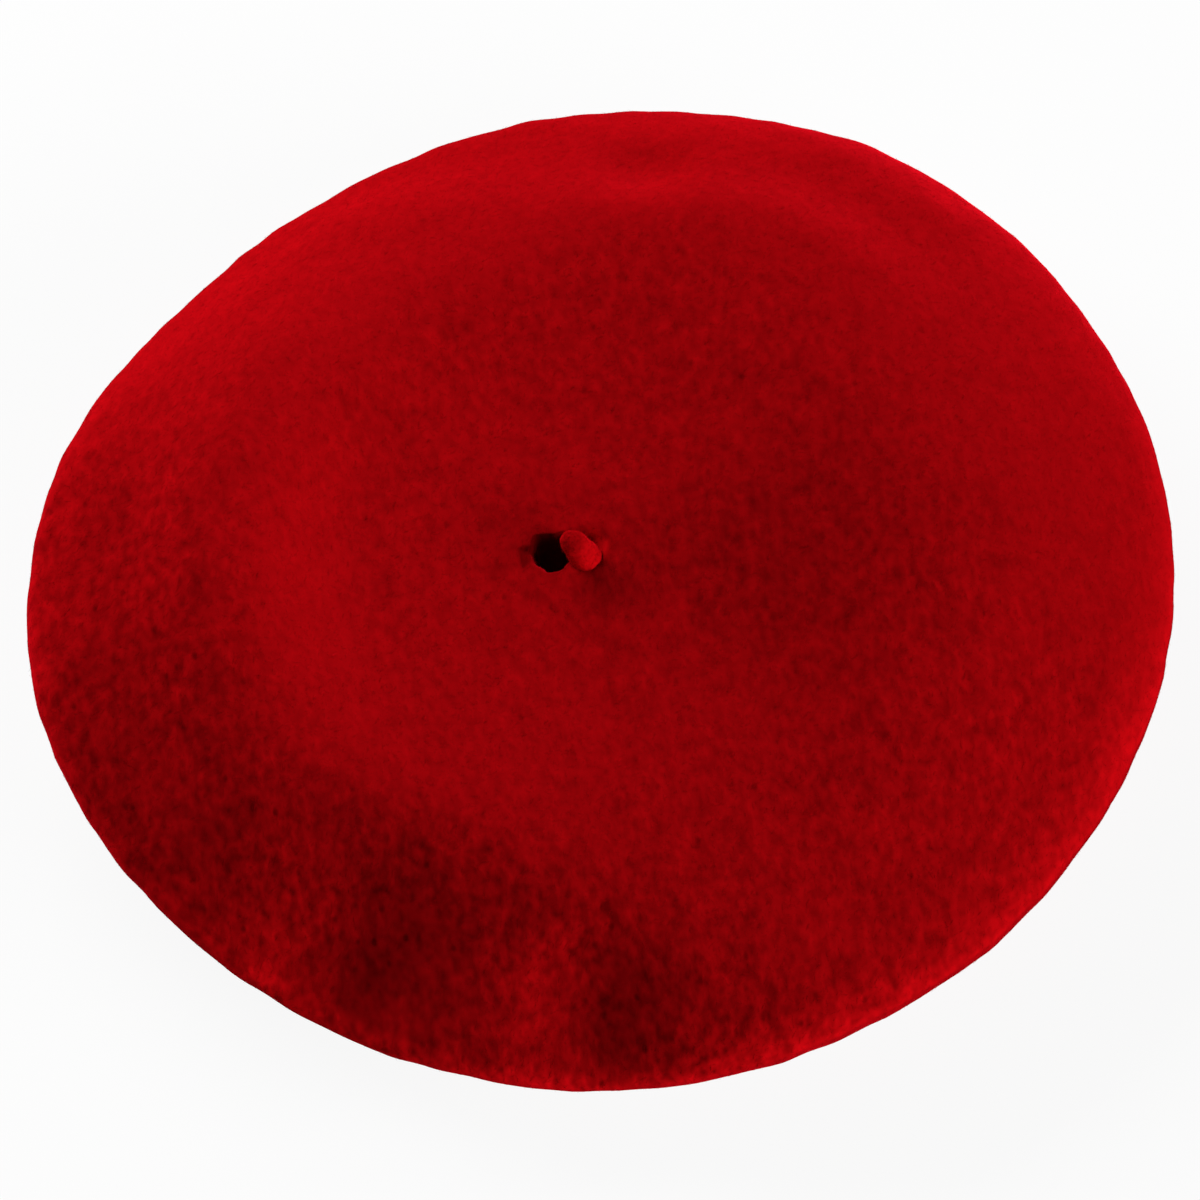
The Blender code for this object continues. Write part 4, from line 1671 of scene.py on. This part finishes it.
@dataclass
class Sweatband:
    """Leather strip round the head opening, the tab over its joint, and their stitches."""

    form: BeretForm
    band_finish: LeatherFinish
    tab_finish: LeatherFinish
    thread: ThreadFinish
    height: float = 0.0215
    foot: float = 0.0008
    thickness: float = 0.0012
    flare: float = 0.0018
    end_gap: float = 0.0008
    hem_gap: float = 0.0006
    tab_width: float = 0.020
    tab_height: float = 0.017
    tab_thickness: float = 0.0009
    tab_gap: float = 0.00045
    tab_corner: float = 0.12
    stitch_spacing: float = 3.4 * MM
    stitch_length: float = 2.6 * MM
    stitch_thickness: float = 0.42 * MM
    stitch_inset: float = 2.6 * MM
    stitch_proud: float = 0.05 * MM  # of the leather, for the thread's middle
    sections: int = 300
    cut_length: float = 0.567
    band_corner: float = 0.4 * MM
    sway: float = 0.10 * MM
    sways: int = 9
    sway_turn: float = 0.6
    sway_heights: Sequence[float] = (0.004, 0.020)
    tab_sections: int = 33
    tab_edge: float = 0.3 * MM
    tab_squareness: int = 6
    row_end: float = 0.13  # radians from the joint to the foot's first stitch
    row_points: int = 400
    tab_row: float = 0.38  # half the length of a tab's row, as a share of the tab
    tab_row_points: int = 24

    def middle(self, height: np.ndarray) -> np.ndarray:
        """Radius of the middle of the band's leather at a height."""
        inner = self.form.head_radius - self.hem_gap - self.thickness / 2
        return inner + self.flare * (height - self.foot) / self.height

    @staticmethod
    def rounded(width: float, height: float, corner: float) -> np.ndarray:
        """A rectangle with rounded corners about the origin.

        Args:
            width: its size sideways.
            height: its size upwards.
            corner: radius of its corners.

        Returns:
            Rows of sideways and upwards places, going round.
        """
        x, y = width / 2 - corner, height / 2 - corner
        corners = ((x, y, 0), (-x, y, 90), (-x, -y, 180), (x, -y, 270))
        return np.concatenate([arc((a, b), (corner, corner), turn, turn + 90, 3) for a, b, turn in corners])

    def build_band(self, grain: bpy.types.NodeTree) -> bpy.types.Object:
        """Makes the strip, open at the back where its ends meet.

        Args:
            grain: the shared group of leather grain.

        Returns:
            The piece.
        """
        end = self.end_gap / 2 / self.form.head_radius
        angle = math.pi / 2 + np.linspace(end, 2 * math.pi - end, self.sections)[:, None]
        section = self.rounded(self.thickness, self.height, self.band_corner)
        height = self.foot + self.height / 2 + section[:, 1]
        wave = np.sin(self.sways * angle + self.sway_turn)
        sway = self.sway * wave * smooth(*self.sway_heights, height)
        radius = self.middle(height) + section[:, 0] - np.abs(sway)
        rings = polar(radius, angle, height)
        return strip_piece("sweatband_leather", rings, self.band_finish.material(grain))

    def build_tab(self, grain: bpy.types.NodeTree) -> bpy.types.Object:
        """Makes the tab over the band's joint.

        Args:
            grain: the shared group of leather grain.

        Returns:
            The piece.
        """
        section = self.rounded(self.tab_thickness, self.tab_height, self.tab_edge)
        across = np.linspace(-0.5, 0.5, self.tab_sections)[:, None]
        shorten = 1 - self.tab_corner * np.abs(2 * across) ** self.tab_squareness
        height = self.foot + self.height / 2 + section[:, 1] * shorten
        inside = self.thickness / 2 + self.tab_gap + self.tab_thickness / 2
        radius = self.middle(height) - inside + section[:, 0]
        angle = math.pi / 2 + across * self.tab_width / radius
        rings = polar(radius, angle, height)
        return strip_piece("sweatband_joint_tab", rings, self.tab_finish.material(grain))

    def stitch_line(self, name: str, points: np.ndarray) -> bpy.types.Object:
        """A line of edges for a row of stitches.

        Args:
            name: the object's name.
            points: places along the line.

        Returns:
            The line.
        """
        mesh = bpy.data.meshes.new(name)
        mesh.from_pydata(points.tolist(), [(step, step + 1) for step in range(len(points) - 1)], [])
        return place(name, mesh)

    def build_stitches(self, group: bpy.types.NodeTree) -> list[bpy.types.Object]:
        """Sews the band's foot to the hem and the tab to the band.

        Args:
            group: the geometry node group of a stitch row.

        Returns:
            The rows.
        """
        values = {
            "Spacing": self.stitch_spacing,
            "Length": self.stitch_length,
            "Thickness": self.stitch_thickness,
            "Material": self.thread.material(),
        }
        rows = []
        end = self.row_end
        angle = math.pi / 2 + np.linspace(end, 2 * math.pi - end, self.row_points)
        low = self.foot + self.stitch_inset
        foot = polar(self.middle(low) - self.thickness / 2 - self.stitch_proud, angle, low)
        rows.append(grow("sweatband_stitches", self.stitch_line("foot_line", foot), group, values))
        inside = self.thickness / 2 + self.tab_gap + self.tab_thickness + self.stitch_proud
        share = np.linspace(-self.tab_row, self.tab_row, self.tab_row_points)
        height = self.foot + self.height / 2 + share * self.tab_height
        for side, label in ((-1, "left"), (1, "right")):
            radius = self.middle(height) - inside
            turn = math.pi / 2 + side * (self.tab_width / 2 - self.stitch_inset) / radius
            seam = polar(radius, turn, height)
            rows.append(grow(f"tab_stitches_{label}", self.stitch_line(f"{label}_line", seam), group, values))
        return rows

    def dress(
        self, band: bpy.types.Object, tab: bpy.types.Object, stitches: Iterable[bpy.types.Object]
    ) -> None:
        """Sets the leather and its stitches in the frame.

        Args:
            band: the strip.
            tab: the tab.
            stitches: the rows of stitches.
        """
        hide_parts("sweatband")
        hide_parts("sweatband_joint")
        for piece in (band, tab, *stitches):
            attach(piece, HAT)


# Studio


@dataclass(frozen=True)
class Lamp:
    """A soft oblong lamp. Level is the light that it gives to a surface which faces it."""

    name: str
    azimuth: float
    elevation: float
    level: float
    distance: float = 1.8
    width: float = 1.8
    height: float = 0.5


@dataclass
class Studio:
    """Pale floor, white surroundings, soft lamps and the camera."""

    lamps: Sequence[Lamp] = (
        Lamp("low_back_left", 117, 17, 6.5),
        Lamp("low_front_right", -30, 10.5, 6.3, distance=4.0, width=4.0, height=1.1),
    )
    surroundings: float = 0.0
    floor_colour: Colour = (0.90, 0.90, 0.90)
    floor_glow: float = 0.91
    floor_fade: Sequence[float] = (0.25, 0.80)
    floor_roughness: float = 0.9
    floor_side: float = 24.0
    floor_height: float = -0.3 * MM
    aim: Sequence[float] = (0.00175, 0.00074, 0.020)
    aim_right: float = -0.61 * MM
    aim_up: float = -9.0 * MM
    view_elevation: float = 60.0
    view_roll: float = 7.83
    view_distance: float = 2.2
    lens: float = 268.5

    def build_floor(self) -> None:
        """Makes the floor, which keeps the shadow and glows to the camera, wholly white far away."""
        half = self.floor_side / 2
        corners = np.array(((-half, -half, 0), (half, -half, 0), (half, half, 0), (-half, half, 0)))
        corners[:, 2] = self.floor_height
        material, tree, shader = new_material("pale_floor")
        paint = (*self.floor_colour, 1.0)
        matt = {"Base Color": paint, "Roughness": self.floor_roughness, "Specular IOR Level": 0.0}
        tree.give(shader, matt)
        glow = tree.add("ShaderNodeEmission", {"Color": (1.0, 1.0, 1.0, 1.0), "Strength": 1.0})
        where = tree.add("ShaderNodeTexCoord").outputs["Object"]
        away = tree.add("ShaderNodeVectorMath", {"Vector": where}, operation="LENGTH").outputs["Value"]
        fade = tree.ramp(away, *self.floor_fade, self.floor_glow, 1.0)
        share = tree.math("MULTIPLY", self.seen_directly(tree), fade)
        mixed = tree.add("ShaderNodeMixShader")
        tree.feed(mixed.inputs[0], share)
        tree.feed(mixed.inputs[1], shader.outputs[0])
        tree.feed(mixed.inputs[2], glow.outputs[0])
        output = next(node for node in material.node_tree.nodes if node.type == "OUTPUT_MATERIAL")
        tree.feed(output.inputs["Surface"], mixed.outputs[0])
        floor = mesh_piece("floor", corners, [(0, 1, 2, 3)], material)

    @staticmethod
    def seen_directly(tree: NodeTree) -> bpy.types.NodeSocket:
        """1 for rays from the camera and for reflected or refracted ones, and otherwise 0.

        Args:
            tree: the tree to add to.

        Returns:
            The mask.
        """
        rays = tree.add("ShaderNodeLightPath").outputs
        mirrored = tree.math("MAXIMUM", rays["Is Glossy Ray"], rays["Is Transmission Ray"])
        return tree.math("MAXIMUM", rays["Is Camera Ray"], mirrored)

    def build_world(self) -> None:
        """Makes the surroundings: white to the camera, and at their own level as a light."""
        world = bpy.data.worlds.new("surroundings")
        world.use_nodes = True
        bpy.context.scene.world = world
        tree = NodeTree(world.node_tree)
        backdrop = next(node for node in world.node_tree.nodes if node.type == "BACKGROUND")
        backdrop.inputs["Color"].default_value = (1.0, 1.0, 1.0, 1.0)
        strength = tree.ramp(self.seen_directly(tree), 0, 1, self.surroundings, 1.0)
        tree.feed(backdrop.inputs["Strength"], strength)

    def build_lamps(self) -> None:
        """Hangs the lamps round the beret, facing it."""
        for lamp in self.lamps:
            turn, rise = math.radians(lamp.azimuth), math.radians(lamp.elevation)
            away = Vector((math.cos(turn) * math.cos(rise), math.sin(turn) * math.cos(rise), math.sin(rise)))
            light = bpy.data.lights.new(lamp.name, "AREA")
            light.shape = "RECTANGLE"
            light.size = lamp.width
            light.size_y = lamp.height
            light.energy = lamp.level * math.pi * lamp.distance**2
            piece = place(lamp.name, light)
            piece.location = Vector(self.aim) + away * lamp.distance
            piece.rotation_euler = away.to_track_quat("Z", "Y").to_euler()
            piece.visible_camera = False

    def build_camera(self) -> None:
        """Sets the camera at the photograph's angle, tilt and framing."""
        rise, roll = math.radians(self.view_elevation), math.radians(self.view_roll)
        back = Vector((0.0, -math.cos(rise), math.sin(rise)))
        level = Vector((1.0, 0.0, 0.0))
        upright = back.cross(level)
        right = math.cos(roll) * level - math.sin(roll) * upright
        up = math.sin(roll) * level + math.cos(roll) * upright
        data = bpy.data.cameras.new("camera")
        data.lens = self.lens
        camera = place("camera", data)
        turn = Matrix((right, up, back)).transposed().to_4x4()
        shift = right * self.aim_right + up * self.aim_up
        eye = Vector(self.aim) + shift + back * self.view_distance
        camera.matrix_world = Matrix.Translation(eye) @ turn
        bpy.context.scene.camera = camera

    def build(self) -> None:
        """Makes the whole studio."""
        bpy.context.scene.view_settings.view_transform = "Standard"
        self.build_floor()
        self.build_world()
        self.build_lamps()
        self.build_camera()


def report(*pieces: bpy.types.Object) -> None:
    """Logs pieces with their numbers of faces."""
    for piece in pieces:
        log.info("%s: %d faces", piece.name, len(piece.data.polygons))


def main() -> None:
    """Builds the pieces in order and reports each one."""
    logging.basicConfig(level=logging.INFO, format="%(message)s")
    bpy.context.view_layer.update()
    form = BeretForm()
    mottle, threads, grain = mottle_group(), satin_group(), grain_group()
    nap, row = nap_group(), stitch_group()

    felt = FeltBody(form, FeltFinish("felt"))
    shell = felt.build(mottle)
    fibres = felt.build_nap(nap)
    felt.dress(shell, fibres)
    report(shell, *fibres)

    anchor_thread = ThreadFinish("anchor_thread", (0.20, 0.001, 0.002), (0.32, 0.002, 0.004))
    stalk = Stalk(form, FeltFinish("stalk_felt", sheen=0.25), anchor_thread)
    stub = stalk.build(mottle)
    stub_nap = stalk.build_nap(stub, nap)
    anchor = stalk.build_anchor()
    stalk.dress(stub, stub_nap, anchor)
    report(stub, stub_nap, anchor)

    crown_satin = SatinFinish("crown_satin", (0.060, 0.003, 0.005), (0.120, 0.006, 0.009))
    side_satin = SatinFinish("side_satin", (0.055, 0.003, 0.005), (0.110, 0.006, 0.008))
    lining = Lining(form, crown_satin, side_satin)
    disc, ring = lining.build_crown(threads), lining.build_side(threads)
    lining.dress(disc, ring)
    report(disc, ring)

    thread = ThreadFinish("seam_thread", (0.10, 0.004, 0.006), (0.22, 0.008, 0.012))
    tab_leather = LeatherFinish("tab_leather", pebble_size=0.65 * MM)
    band = Sweatband(form, LeatherFinish("band_leather"), tab_leather, thread)
    strip, tab = band.build_band(grain), band.build_tab(grain)
    rows = band.build_stitches(row)
    band.dress(strip, tab, rows)
    report(strip, tab, *rows)

    Studio().build()


if __name__ == "__main__":
    main()
